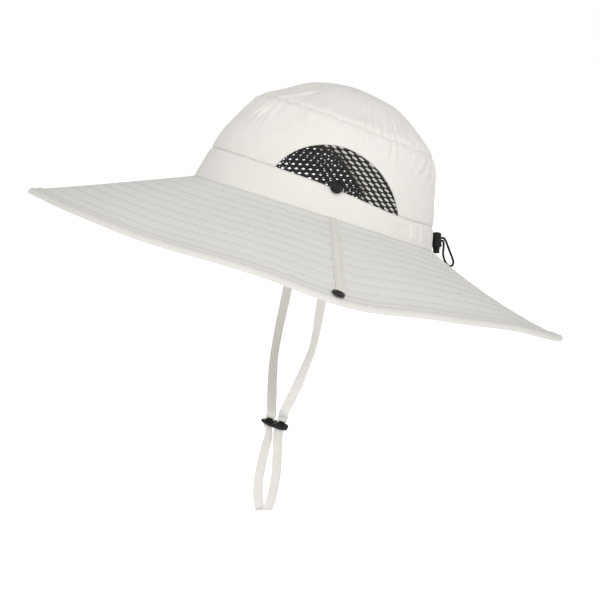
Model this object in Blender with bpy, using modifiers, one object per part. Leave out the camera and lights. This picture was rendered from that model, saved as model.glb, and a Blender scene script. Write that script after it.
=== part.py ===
"""Wide brim sun hat, worn tipped back, with its chin strap hanging.

The hat's own axes have Z = 0 at the brim seam, -Y to the front and +X to the wearer's left.
An empty tips them back by TILT, and what hangs is placed straight in the upright frame, whose
origin is the middle of the brim seam, where a head sits. Lengths are in metres.
"""

import math
from collections import namedtuple

import bmesh
import bpy
from mathutils import Matrix, Vector

# How the hat is worn, and what every sewn piece shares
TILT = math.radians(18.0)
GAP = 0.0004
CLOTH = 0.0013
STEPS_AROUND = 52

# Crown
CROWN_HALF_LENGTH = 0.1035
CROWN_HALF_WIDTH = 0.0850
CROWN_HEIGHT = 0.1085
BAND_HEIGHT = 0.0240
BAND_FALL = 0.0025
BAND_DIP = 0.0045
# Where the band seam dips most, and how wide, as shares of the way from side to back
BAND_DIP_MIDDLE = 0.54
BAND_DIP_SPREAD = 0.50
TIP_SEAM_RISE = 0.0765
TIP_SEAM_FALL = 0.0035
BAND_STEPS = 3
SIDE_STEPS = 4
TIP_STEPS = 4

# Side windows and their net
WINDOW_HALF_CHORD = 0.0570
WINDOW_HEIGHT = 0.0360
WINDOW_AHEAD = 0.0027
WINDOW_STEPS = 24
NET_MARGIN = 0.0045
NET_THICKNESS = 0.0008
NET_COLUMNS = 9
NET_ROWS = 4
HOLE_PITCH_ALONG = 0.0112
HOLE_PITCH_UP = 0.0050
HOLE_LENGTH = 0.0074
HOLE_HEIGHT = 0.0056
HOLE_RIM = 0.0008

# Brim, its bound edge and the tapes over its side seams
BRIM_HALF_LENGTH = 0.2280
BRIM_HALF_WIDTH = 0.1950
BRIM_DROP = 0.0550
BRIM_THICKNESS = 0.0024
BRIM_STEPS = 3
BINDING_WIDTH = 0.0100
BINDING_THICKNESS = 0.0009
TAPE_WIDTH = 0.0075
TAPE_THICKNESS = 0.0008
TAPE_AHEAD = 0.0025
TAPE_STEPS = 6

# Press studs
STUD_RADIUS = 0.0053
STUD_CAP_HEIGHT = 0.0019
STUD_DISH_DEPTH = 0.0005
STUD_POST_RADIUS = 0.0012
STUD_BACK_RADIUS = 0.0043
STUD_BACK_HEIGHT = 0.0010
STUD_SIDES = 12
BRIM_STUD_FROM_EDGE = 0.0064
BRIM_STUD_AHEAD = 0.0042
CROWN_STUD_ABOVE_BAND = 0.0028
CROWN_STUD_AHEAD = 0.0035

# Chin strap and its slider
STRAP_WIDTH = 0.0080
STRAP_THICKNESS = 0.0012
STRAP_ANCHOR_ANGLE = math.radians(3.0)
STRAP_ANCHOR_RISE = 0.0150
STRAP_STEPS = 2
SLIDER_AHEAD = 0.0329
SLIDER_BELOW = 0.1734
SLIDER_TILT = math.radians(18.0)
SLIDER_WIDTH = 0.0105
SLIDER_THICKNESS = 0.0034
SLIDER_COLLAR_HEIGHT = 0.0013
SLIDER_COLLAR_WALL = 0.0010
SLIDER_BAR = 0.0016
SLIDER_END_WALL = 0.0021
SLOT_CLEARANCE = 0.0004
LOOP_LENGTH = 0.0721
LOOP_WIDTH = 0.0140

# Draw cord and its lock, at the middle of the back
CORD_DIAMETER = 0.0019
CORD_EXIT_RISE = 0.0090
CORD_POINTS = 42
LOCK_STANDOFF = 0.0014
LOCK_BORE_RADIUS = 0.0035
LOCK_WALL = 0.0010
LOCK_SLOT_SILL = 0.0040
LOCK_SLOT_CLEARANCE = 0.0003
LOCK_RUNNING_GAP = 0.00025
LOCK_SIDES = 20
PLUNGER_TRAVEL = 0.0016
PLUNGER_BRIDGE = 0.0008
PLUNGER_OUT = 0.0052
PLUNGER_LIP = 0.0010
LOCK_SPARE = 0.0002

CLOTH_COLOUR = (0.80, 0.76, 0.71, 1.0)
BRIM_COLOUR = (0.66, 0.65, 0.62, 1.0)
BINDING_COLOUR = (0.84, 0.80, 0.76, 1.0)
STRAP_COLOUR = (0.82, 0.79, 0.74, 1.0)
NET_COLOUR = (0.016, 0.016, 0.017, 1.0)
PLASTIC_COLOUR = (0.012, 0.012, 0.013, 1.0)
CORD_COLOUR = (0.020, 0.020, 0.021, 1.0)

# The crown's sections: rise as a share of CROWN_HEIGHT, front and back of CROWN_HALF_LENGTH,
# side of CROWN_HALF_WIDTH.
CrownRow = namedtuple("CrownRow", "name rise front back side")
CROWN_ROWS = (
    CrownRow("brim_seam", 0.000, 1.000, 0.995, 1.000),
    CrownRow("flare", 0.065, 0.977, 0.975, 0.978),
    CrownRow("band_top", 0.235, 0.930, 0.928, 0.938),
    CrownRow("lower_side", 0.400, 0.888, 0.878, 0.895),
    CrownRow("upper_side", 0.560, 0.813, 0.820, 0.835),
    CrownRow("shoulder", 0.665, 0.748, 0.768, 0.775),
    CrownRow("tip_seam", 0.735, 0.690, 0.714, 0.712),
    CrownRow("dome_low", 0.815, 0.576, 0.607, 0.600),
    CrownRow("dome_middle", 0.890, 0.446, 0.489, 0.475),
    CrownRow("dome_high", 0.955, 0.295, 0.340, 0.315),
    CrownRow("apex", 1.000, 0.000, 0.000, 0.000),
)

# Puckers gathered into the tip seam: angle and spread in degrees from the wearer's left towards
# the back, depth as a share of CLOTH, reach below the seam as a share of TIP_SEAM_RISE.
Pucker = namedtuple("Pucker", "name angle spread depth reach")
PUCKERS = (
    Pucker("front_left", -64, 10, 1.2, 0.30),
    Pucker("front_left_inner", -46, 9, 0.9, 0.20),
    Pucker("back_left_high", 24, 8, 0.9, 0.20),
    Pucker("back_left_middle", 40, 9, 1.3, 0.30),
    Pucker("back_left_low", 57, 9, 1.2, 0.38),
    Pucker("back_left_corner", 74, 9, 1.5, 0.48),
    Pucker("back_right_corner", 104, 9, 1.4, 0.44),
    Pucker("back_right_low", 124, 9, 1.2, 0.34),
    Pucker("back_right_high", 146, 9, 1.0, 0.24),
    Pucker("front_right_inner", -132, 9, 0.9, 0.22),
    Pucker("front_right", -114, 10, 1.2, 0.30),
)
PUCKER_FADE_ABOVE = 0.10

# The brim by direction: angle in degrees from the side, negative to the front, drop of the rim
# as a share of BRIM_DROP, and flare, 0 where the brim is straight from crown to rim, more where
# it levels out towards the rim and less where it rolls down.
BrimRow = namedtuple("BrimRow", "name angle drop flare")
BRIM_ROWS = (
    BrimRow("front", -90, 0.930, 0.03),
    BrimRow("front_quarter", -45, 1.050, -0.08),
    BrimRow("ahead_of_side", -15, 1.037, -0.18),
    BrimRow("side_seam", 3, 1.064, -0.22),
    BrimRow("behind_side", 20, 0.870, -0.22),
    BrimRow("back_quarter", 45, 0.685, 0.12),
    BrimRow("back", 90, 0.645, 0.62),
)

# The strap from each anchor to the slider: down and ahead as shares of the way there, side as a
# share of the anchor's distance from the middle, twist in degrees.
StrapRow = namedtuple("StrapRow", "down side ahead twist")
LEFT_LEG = (
    StrapRow(0.150, 0.995, 0.260, 8),
    StrapRow(0.370, 0.965, 0.475, 32),
    StrapRow(0.580, 0.890, 0.640, 58),
    StrapRow(0.715, 0.740, 0.815, 46),
    StrapRow(0.824, 0.520, 0.935, 16),
    StrapRow(0.905, 0.280, 0.990, 4),
    StrapRow(0.950, 0.110, 1.000, 0),
)
RIGHT_LEG = (
    StrapRow(0.200, 0.990, 0.110, -6),
    StrapRow(0.420, 0.915, 0.310, -22),
    StrapRow(0.600, 0.770, 0.530, -40),
    StrapRow(0.730, 0.560, 0.710, -46),
    StrapRow(0.835, 0.310, 0.840, -30),
    StrapRow(0.925, 0.110, 0.930, -8),
)

# The loop under the slider: down as a share of LOOP_LENGTH, front and rear strand as shares of
# LOOP_WIDTH behind the slider's middle.
LoopRow = namedtuple("LoopRow", "down front rear")
LOOP_ROWS = (
    LoopRow(0.14, -0.46, 0.20),
    LoopRow(0.30, -0.60, 0.17),
    LoopRow(0.47, -0.80, 0.13),
    LoopRow(0.63, -0.95, 0.05),
    LoopRow(0.78, -1.00, -0.06),
    LoopRow(0.90, -0.93, -0.22),
    LoopRow(0.975, -0.70, -0.42),
)

# The draw cord's free run in the upright middle plane: back and up from where it leaves the crown.
CORD_ROUTE = (
    (0.0107, 0.00115),
    (0.0122, 0.0010),
    (0.0136, -0.0006),
    (0.0148, -0.0032),
    (0.0165, -0.0076),
    (0.0181, -0.0118),
    (0.0197, -0.0157),
    (0.0206, -0.0190),
    (0.0200, -0.0215),
    (0.0181, -0.0226),
    (0.0160, -0.0217),
    (0.0140, -0.0193),
    (0.0124, -0.0155),
    (0.0118, -0.0118),
    (0.0121, -0.0075),
    (0.0122, -0.0042),
    (0.0118, -0.0020),
    (0.0107, -0.00115),
)


def clear_scene():
    """Removes every object of the open scene."""
    for old in list(bpy.data.objects):
        bpy.data.objects.remove(old)


def collection(name):
    """A new collection in the scene."""
    made = bpy.data.collections.new(name)
    bpy.context.scene.collection.children.link(made)
    return made


def material(name, colour, roughness, metallic=0.0):
    """A Principled material."""
    made = bpy.data.materials.new(name)
    made.use_nodes = True
    shader = made.node_tree.nodes["Principled BSDF"]
    shader.inputs["Base Color"].default_value = colour
    shader.inputs["Roughness"].default_value = roughness
    shader.inputs["Metallic"].default_value = metallic
    return made


def place(name, data, finish, parent=None):
    """An object of the hat, linked, painted and parented."""
    made = bpy.data.objects.new(name, data)
    made.data.materials.append(finish)
    made.parent = parent
    PARTS.objects.link(made)
    return made


def as_cutter(tool):
    """Turns an object into a hidden tool for Boolean modifiers."""
    for user in list(tool.users_collection):
        user.objects.unlink(tool)
    CUTTERS.objects.link(tool)
    tool.hide_render = True
    tool.display_type = "WIRE"
    return tool


def boolean(target, tool, operation="DIFFERENCE"):
    """Cuts the tool from the target, or joins it on."""
    step = target.modifiers.new(operation.title(), "BOOLEAN")
    step.operation = operation
    step.solver = "EXACT"
    step.object = tool


def mesh_from(name, build):
    """A mesh filled by build(bmesh), with its doubles merged and its faces pointing out."""
    work = bmesh.new()
    build(work)
    bmesh.ops.remove_doubles(work, verts=work.verts, dist=1e-6)
    bmesh.ops.recalc_face_normals(work, faces=work.faces)
    mesh = bpy.data.meshes.new(name)
    work.to_mesh(mesh)
    work.free()
    return mesh


def loft_ring(name, section_of, finish, parent):
    """One closed body: a closed section carried once around the hat."""

    def build(work):
        rings = []
        for step in range(STEPS_AROUND):
            corners = section_of(2.0 * math.pi * step / STEPS_AROUND)
            rings.append([work.verts.new(corner) for corner in corners])
        for ring, after in zip(rings, rings[1:] + rings[:1]):
            for here in range(len(ring)):
                onward = (here + 1) % len(ring)
                work.faces.new((ring[here], after[here], after[onward], ring[onward]))

    return place(name, mesh_from(name, build), finish, parent)


def loft_along(name, sections):
    """A mesh: closed sections of equal count joined in order, with both ends capped."""

    def build(work):
        rings = [[work.verts.new(corner) for corner in section] for section in sections]
        for ring, after in zip(rings, rings[1:]):
            for here in range(len(ring)):
                onward = (here + 1) % len(ring)
                work.faces.new((ring[here], after[here], after[onward], ring[onward]))
        work.faces.new(rings[0])
        work.faces.new(list(reversed(rings[-1])))

    return mesh_from(name, build)


def spline(values, at, beyond):
    """The value at a fractional index of a Catmull-Rom curve, with the value past its end."""
    low = max(0, min(int(at), len(values) - 2))
    share = at - low
    before = values[low - 1] if low else 2.0 * values[0] - values[1]
    after = values[low + 2] if low + 2 < len(values) else beyond
    start, end = values[low], values[low + 1]
    return 0.5 * (
        2.0 * start
        + (end - before) * share
        + (2.0 * before - 5.0 * start + 4.0 * end - after) * share**2
        + (3.0 * start - before - 3.0 * end + after) * share**3
    )


def smooth_path(points, count):
    """Evenly many points on a Catmull-Rom curve through the given ones."""
    last = len(points) - 1
    beyond = 2.0 * points[-1] - points[-2]
    return [spline(points, last * step / (count - 1), beyond) for step in range(count)]


def smooth_share(value):
    """A smooth step from 0 to 1."""
    value = max(0.0, min(1.0, value))
    return value * value * (3.0 - 2.0 * value)


# Crown surface

RISES = [row.rise for row in CROWN_ROWS]
FRONTS = [row.front for row in CROWN_ROWS]
BACKS = [row.back for row in CROWN_ROWS]
SIDES = [row.side for row in CROWN_ROWS]
APEX_LEVEL = len(CROWN_ROWS) - 1.0


def crown_share(values, level):
    """A column of the crown's table at a fractional row; it changes sign past the apex."""
    return spline(values, level, -values[-2])


def crown_rise(level):
    """Height over the brim seam at a fractional row of the crown's table."""
    return CROWN_HEIGHT * spline(RISES, level, RISES[-2])


def level_at(rise):
    """The fractional row at which the crown has that height."""
    low, high = 0.0, APEX_LEVEL
    for _ in range(40):
        middle = 0.5 * (low + high)
        if crown_rise(middle) < rise:
            low = middle
        else:
            high = middle
    return 0.5 * (low + high)


def plain_crown(angle, level):
    """The crown's outer surface before it is puckered."""
    ends = FRONTS if math.sin(angle) < 0.0 else BACKS
    return Vector(
        (
            CROWN_HALF_WIDTH * crown_share(SIDES, level) * math.cos(angle),
            CROWN_HALF_LENGTH * crown_share(ends, level) * math.sin(angle),
            crown_rise(level),
        )
    )


def band_seam(angle):
    """Height of the seam between the band and the side panel, lowest behind each side."""
    from_dip = (math.sin(angle) - BAND_DIP_MIDDLE) / BAND_DIP_SPREAD
    return BAND_HEIGHT - BAND_FALL * math.sin(angle) - BAND_DIP * math.exp(-(from_dip**2))


def tip_seam(angle):
    """Height of the seam between the side panel and the tip."""
    return TIP_SEAM_RISE - TIP_SEAM_FALL * math.sin(angle)


def level_normal(angle, level):
    """The horizontal direction straight out of the crown's wall."""
    nudge = 0.001
    across = plain_crown(angle + nudge, level) - plain_crown(angle - nudge, level)
    return Vector((across.y, -across.x, 0.0)).normalized()


def true_normal(angle, level):
    """Straight out of the crown's surface."""
    if level >= APEX_LEVEL - 1e-6:
        return Vector((0.0, 0.0, 1.0))
    nudge = 0.001
    flat = level_normal(angle, level)
    up = plain_crown(angle, min(level + nudge, APEX_LEVEL)) - plain_crown(angle, level - nudge)
    return Vector((-flat.y, flat.x, 0.0)).cross(up).normalized()


def crown_normal(angle, level):
    """Out of the crown's surface; level at the band, so that its hem is cut level."""
    true = true_normal(angle, level)
    if level >= APEX_LEVEL - 1e-6:
        return true
    share = smooth_share((crown_rise(level) - BAND_HEIGHT) / (TIP_SEAM_RISE - BAND_HEIGHT))
    return level_normal(angle, level).lerp(true, share).normalized()


def pucker_depth(angle, level):
    """How far the gathers at the tip seam pull the cloth in."""
    rise = crown_rise(level)
    depth = 0.0
    for pucker in PUCKERS:
        turn = math.degrees(angle) - pucker.angle
        turn = (turn + 180.0) % 360.0 - 180.0
        if abs(turn) >= pucker.spread:
            continue
        below = tip_seam(angle) - rise
        reach = pucker.reach if below > 0.0 else PUCKER_FADE_ABOVE
        fade = 1.0 - abs(below) / (reach * TIP_SEAM_RISE)
        across = 0.5 + 0.5 * math.cos(math.pi * turn / pucker.spread)
        depth += pucker.depth * CLOTH * across * smooth_share(fade)
    return depth


def crown_wall(angle, level, depth=0.0):
    """A point at that depth under the crown's outer surface."""
    inward = depth + pucker_depth(angle, level)
    return plain_crown(angle, level) - crown_normal(angle, level) * inward


def wall_section(angle, low, high, steps):
    """The cloth wall's closed section at one angle, between two levels."""
    levels = [low + (high - low) * step / steps for step in range(steps + 1)]
    outside = [crown_wall(angle, level) for level in levels]
    inside = [crown_wall(angle, level, CLOTH) for level in reversed(levels)]
    return outside + inside


def band_section(angle):
    return wall_section(angle, 0.0, level_at(band_seam(angle) - GAP / 2.0), BAND_STEPS)


def side_section(angle):
    low = level_at(band_seam(angle) + GAP / 2.0)
    return wall_section(angle, low, level_at(tip_seam(angle) - GAP / 2.0), SIDE_STEPS)


def tip_section(angle):
    return wall_section(angle, level_at(tip_seam(angle) + GAP / 2.0), APEX_LEVEL, TIP_STEPS)


# Windows and net

def window_radius():
    """Radius of the window's arc over its chord."""
    return (WINDOW_HALF_CHORD**2 + WINDOW_HEIGHT**2) / (2.0 * WINDOW_HEIGHT)


def window_top(along):
    """Height of the window's arc over the band seam, that far along from its middle."""
    radius = window_radius()
    return math.sqrt(max(0.0, radius**2 - along**2)) - (radius - WINDOW_HEIGHT)


def window_half_chord(height, margin=0.0):
    """Half the window's width at a height over the band seam, widened by a margin."""
    radius = window_radius()
    centre = WINDOW_HEIGHT - radius
    return math.sqrt(max(0.0, (radius + margin) ** 2 - (height - centre) ** 2))


def side_spot(side, along, height):
    """Angle and level of a spot by a window: along from its middle to the back, height over the seam.

    side is 1 for the wearer's left and -1 for the right.
    """
    girth = CROWN_HALF_LENGTH * crown_share(BACKS, level_at(BAND_HEIGHT + max(0.0, height)))
    turn = (along - WINDOW_AHEAD) / girth
    angle = turn if side > 0 else math.pi - turn
    return angle, level_at(band_seam(angle) + height)


def prism(name, outline, parent):
    """A cutter: an outline of (near, far) point pairs joined into a closed prism."""

    def build(work):
        near = [work.verts.new(pair[0]) for pair in outline]
        far = [work.verts.new(pair[1]) for pair in outline]
        work.faces.new(near)
        work.faces.new(list(reversed(far)))
        for here in range(len(near)):
            onward = (here + 1) % len(near)
            work.faces.new((near[here], far[here], far[onward], near[onward]))

    tool = bpy.data.objects.new(name, mesh_from(name, build))
    tool.parent = parent
    return as_cutter(tool)


def window_cutter(side, parent):
    """Cuts the side panel down to its lower seam, under the window's arc."""
    outline = []
    for step in range(WINDOW_STEPS + 1):
        along = WINDOW_HALF_CHORD * (2.0 * step / WINDOW_STEPS - 1.0)
        spot = plain_crown(*side_spot(side, along, window_top(along)))
        outline.append((along, spot.y, spot.z))
    for along in (WINDOW_HALF_CHORD, -WINDOW_HALF_CHORD):
        spot = plain_crown(*side_spot(side, along, -NET_MARGIN))
        outline.append((along, spot.y, spot.z))
    inner, outer = CROWN_HALF_WIDTH * 0.4 * side, CROWN_HALF_WIDTH * 1.2 * side
    pairs = [(Vector((inner, y, z)), Vector((outer, y, z))) for _, y, z in outline]
    return prism(f"window_cutter_{side}", pairs, parent)


def net_holes(side, parent):
    """One cutter with every diamond hole of a net."""
    stud_keep_out = STUD_RADIUS + HOLE_LENGTH / 2.0
    centres = []
    rows = int(WINDOW_HEIGHT / HOLE_PITCH_UP)
    for row in range(rows):
        height = HOLE_RIM + HOLE_HEIGHT / 2.0 + row * HOLE_PITCH_UP
        reach = window_half_chord(height + HOLE_HEIGHT / 4.0) - HOLE_LENGTH / 2.0 - HOLE_RIM
        shift = 0.5 * HOLE_PITCH_ALONG * (row % 2)
        most = int(max(0.0, reach) / HOLE_PITCH_ALONG) + 1
        for column in range(-most, most + 1):
            along = column * HOLE_PITCH_ALONG + shift
            from_stud = math.hypot(along + CROWN_STUD_AHEAD, height - CROWN_STUD_ABOVE_BAND)
            if abs(along) <= reach and from_stud > stud_keep_out:
                centres.append((along, height))

    def build(work):
        for along, height in centres:
            diamond = ((-0.5, 0.0), (0.0, -0.5), (0.5, 0.0), (0.0, 0.5))
            rings = []
            for depth in (0.0, CLOTH + 2.0 * GAP + 2.0 * NET_THICKNESS):
                ring = []
                for step_along, step_up in diamond:
                    spot = side_spot(
                        side,
                        along + step_along * HOLE_LENGTH,
                        height + step_up * HOLE_HEIGHT,
                    )
                    ring.append(work.verts.new(crown_wall(*spot, depth)))
                rings.append(ring)
            near, far = rings
            work.faces.new(near)
            work.faces.new(list(reversed(far)))
            for here in range(4):
                onward = (here + 1) % 4
                work.faces.new((near[here], far[here], far[onward], near[onward]))

    tool = bpy.data.objects.new(f"net_holes_{side}", mesh_from("net_holes", build))
    tool.parent = parent
    return as_cutter(tool)


def net_panel(side, name, finish, parent):
    """A net sewn behind a window, with its holes cut through."""
    depth = CLOTH + GAP
    lowest, highest = -NET_MARGIN, WINDOW_HEIGHT + NET_MARGIN

    def build(work):
        rows = []
        for row in range(NET_ROWS + 1):
            height = lowest + (highest - lowest) * math.sin(0.5 * math.pi * row / NET_ROWS)
            wide = max(window_half_chord(height, NET_MARGIN), 2.0 * NET_MARGIN)
            rows.append(
                [
                    work.verts.new(
                        crown_wall(
                            *side_spot(side, wide * (2.0 * column / NET_COLUMNS - 1.0), height),
                            depth,
                        )
                    )
                    for column in range(NET_COLUMNS + 1)
                ]
            )
        for row, above in zip(rows, rows[1:]):
            for here in range(NET_COLUMNS):
                corners = (row[here], row[here + 1], above[here + 1], above[here])
                work.faces.new(corners if side > 0 else tuple(reversed(corners)))

    work = bmesh.new()
    build(work)
    mesh = bpy.data.meshes.new(name)
    work.to_mesh(mesh)
    work.free()
    net = place(name, mesh, finish, parent)
    thicken = net.modifiers.new("Net", "SOLIDIFY")
    thicken.thickness = NET_THICKNESS
    thicken.offset = -1.0
    boolean(net, net_holes(side, parent))
    return net


# Brim

def brim_column(angle, column):
    """A column of the brim's table in that direction, the same on both sides of the hat."""
    turn = math.degrees(math.asin(max(-1.0, min(1.0, math.sin(angle)))))
    last = len(BRIM_ROWS) - 1
    low = 0
    while low < last - 1 and BRIM_ROWS[low + 1].angle < turn:
        low += 1
    here, after = BRIM_ROWS[low], BRIM_ROWS[low + 1]

    def slope(at):
        if at in (0, last):
            return 0.0
        rise = getattr(BRIM_ROWS[at + 1], column) - getattr(BRIM_ROWS[at - 1], column)
        return rise / (BRIM_ROWS[at + 1].angle - BRIM_ROWS[at - 1].angle)

    width = after.angle - here.angle
    t = (turn - here.angle) / width
    start, end = getattr(here, column), getattr(after, column)
    return (
        start * (1.0 + 2.0 * t) * (1.0 - t) ** 2
        + slope(low) * width * t * (1.0 - t) ** 2
        + end * t * t * (3.0 - 2.0 * t)
        + slope(low + 1) * width * t * t * (t - 1.0)
    )


def brim_point(angle, share, up=0.0):
    """A point on the brim's top, from 0 at the crown to 1 at the rim."""
    inner = Vector((CROWN_HALF_WIDTH * math.cos(angle), CROWN_HALF_LENGTH * math.sin(angle)))
    outer = Vector((BRIM_HALF_WIDTH * math.cos(angle), BRIM_HALF_LENGTH * math.sin(angle)))
    flat = inner.lerp(outer, share)
    fall = max(0.0, share * (1.0 + brim_column(angle, "flare") * (1.0 - share)))
    drop = BRIM_DROP * brim_column(angle, "drop") * fall
    return Vector((flat.x, flat.y, up - GAP - drop))


def brim_reach(angle):
    """How far the brim stands out, level, in that direction."""
    away = brim_point(angle, 1.0) - brim_point(angle, 0.0)
    return math.hypot(away.x, away.y)


def brim_section(angle):
    """The brim's closed section: its inner edge lies under the band's hem."""
    reach = brim_reach(angle)
    tucked = -CLOTH / reach
    bound = 1.0 - BINDING_WIDTH / reach
    ends = 1.0 - (BINDING_THICKNESS + GAP) / reach
    shares = [bound * step / BRIM_STEPS for step in range(BRIM_STEPS + 1)]
    under = [tucked] + shares + [ends]
    top = [brim_point(angle, share) for share in under]
    bottom = [brim_point(angle, share, -BRIM_THICKNESS) for share in reversed(under)]
    return top + bottom


def binding_section(angle):
    """A folded tape's closed section, around the brim's outer edge."""
    reach = brim_reach(angle)
    edge = 1.0 - BINDING_WIDTH / reach
    fold = 1.0 - BINDING_THICKNESS / reach
    over = GAP + BINDING_THICKNESS
    below = -BRIM_THICKNESS
    return [
        brim_point(angle, edge, over),
        brim_point(angle, fold, over),
        brim_point(angle, 1.0, GAP / 2.0),
        brim_point(angle, 1.0, below - GAP / 2.0),
        brim_point(angle, fold, below - over),
        brim_point(angle, edge, below - over),
        brim_point(angle, edge, below - GAP),
        brim_point(angle, fold, below - GAP),
        brim_point(angle, fold, GAP),
        brim_point(angle, edge, GAP),
    ]


def angle_ahead(side, ahead, share):
    """The direction on the brim's side that is that far ahead of its middle, at a share out."""
    turn = -math.asin(ahead / (CROWN_HALF_LENGTH + (BRIM_HALF_LENGTH - CROWN_HALF_LENGTH) * share))
    return turn if side > 0 else math.pi - turn


def side_tape(side, name, finish, parent):
    """A flat tape down the brim's side seam, from the crown to the binding."""
    reach = brim_reach(0.0)
    first, last = GAP / reach, 1.0 - (BINDING_WIDTH + GAP) / reach
    sections = []
    for step in range(TAPE_STEPS + 1):
        share = first + (last - first) * step / TAPE_STEPS
        middle = brim_point(angle_ahead(side, TAPE_AHEAD, share), share, GAP)
        half = Vector((0.0, TAPE_WIDTH / 2.0, 0.0))
        rise = Vector((0.0, 0.0, TAPE_THICKNESS))
        sections.append([middle - half, middle + half, middle + half + rise, middle - half + rise])
    return place(name, loft_along(name, sections), finish, parent)


# Press studs

def stud_profile(above, below):
    """Half section of a stud: cap over `above`, post, and back plate under `below`."""
    top = above + STUD_CAP_HEIGHT
    back = below - STUD_BACK_HEIGHT
    return (
        (0.0, top - STUD_DISH_DEPTH),
        (STUD_RADIUS * 0.42, top - STUD_DISH_DEPTH),
        (STUD_RADIUS * 0.58, top),
        (STUD_RADIUS * 0.86, top - STUD_CAP_HEIGHT * 0.12),
        (STUD_RADIUS, above + STUD_CAP_HEIGHT * 0.40),
        (STUD_RADIUS, above),
        (STUD_POST_RADIUS, above),
        (STUD_POST_RADIUS, below),
        (STUD_BACK_RADIUS, below),
        (STUD_BACK_RADIUS, back),
        (0.0, back),
    )


def turned(name, profile, sides, finish, parent):
    """A turned piece from its half section, top first."""
    mesh = bpy.data.meshes.new(name)
    points = [(radius, 0.0, height) for radius, height in profile]
    edges = [(at, at + 1) for at in range(len(points) - 1)]
    mesh.from_pydata(points, edges, [])
    made = place(name, mesh, finish, parent)
    screw = made.modifiers.new("Turn", "SCREW")
    screw.steps = sides
    screw.render_steps = sides
    screw.use_merge_vertices = True
    screw.merge_threshold = 1e-6
    return made


def facing(spot, normal, along):
    """A matrix at spot with Z along the normal and Y as near as it gets to `along`."""
    up = normal.normalized()
    across = along.cross(up).normalized()
    forward = up.cross(across)
    return Matrix.Translation(spot) @ Matrix((across, forward, up)).transposed().to_4x4()


def post_hole(name, where, parent):
    """A cutter for a stud's post."""
    work = bmesh.new()
    radius = STUD_POST_RADIUS + GAP
    bmesh.ops.create_cone(
        work, cap_ends=True, segments=STUD_SIDES, radius1=radius, radius2=radius, depth=0.03
    )
    mesh = bpy.data.meshes.new(name)
    work.to_mesh(mesh)
    work.free()
    tool = bpy.data.objects.new(name, mesh)
    tool.parent = parent
    tool.matrix_local = where
    return as_cutter(tool)


def brim_stud_place(side):
    """Where a brim stud sits: through the binding, beside the tape's end."""
    share = 1.0 - BRIM_STUD_FROM_EDGE / brim_reach(0.0)
    angle = angle_ahead(side, BRIM_STUD_AHEAD, share)
    spot = brim_point(angle, share)
    nudge = 0.01
    away = brim_point(angle, share + nudge) - brim_point(angle, share - nudge)
    across = Vector((0.0, 1.0 if side > 0 else -1.0, 0.0))
    return facing(spot, away.cross(across), Vector((0.0, 1.0, 0.0)))


def crown_stud_place(side):
    """Where a crown stud sits: in the net, just over the band."""
    angle, level = side_spot(side, -CROWN_STUD_AHEAD, CROWN_STUD_ABOVE_BAND)
    return facing(plain_crown(angle, level), true_normal(angle, level), Vector((0.0, 1.0, 0.0)))


def add_studs(side, label, brim, binding, net, finish, parent):
    """Both studs of one side, and the holes that their posts go through."""
    over_brim = 2.0 * GAP + BINDING_THICKNESS + GAP
    under_brim = -BRIM_THICKNESS - over_brim
    where = brim_stud_place(side)
    stud = turned(
        f"brim_stud_{label}", stud_profile(over_brim, under_brim), STUD_SIDES, finish, parent
    )
    stud.matrix_local = where
    hole = post_hole(f"brim_post_hole_{label}", where, parent)
    boolean(brim, hole)
    boolean(binding, hole)

    where = crown_stud_place(side)
    behind_net = -(CLOTH + NET_THICKNESS + 3.0 * GAP)
    stud = turned(
        f"crown_stud_{label}", stud_profile(1.5 * GAP, behind_net), STUD_SIDES, finish, parent
    )
    stud.matrix_local = where
    boolean(net, post_hole(f"crown_post_hole_{label}", where, parent))


# Chin strap

def upright(point):
    """A point of the hat's own axes in the upright frame."""
    return Matrix.Rotation(-TILT, 3, "X") @ Vector(point)


def slider_place():
    """The slider's middle, its length towards the back, and the way that the strap leaves it."""
    middle = Vector((0.0, -SLIDER_AHEAD, -SLIDER_BELOW))
    length = Vector((0.0, math.cos(SLIDER_TILT), -math.sin(SLIDER_TILT)))
    down = Vector((0.0, -math.sin(SLIDER_TILT), -math.cos(SLIDER_TILT)))
    return middle, length, down


def slot_length():
    return STRAP_WIDTH + 2.0 * SLOT_CLEARANCE


def slot_spacing():
    """Half the distance between the middles of the slider's two slots."""
    return 0.5 * (slot_length() + SLIDER_BAR)


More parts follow.
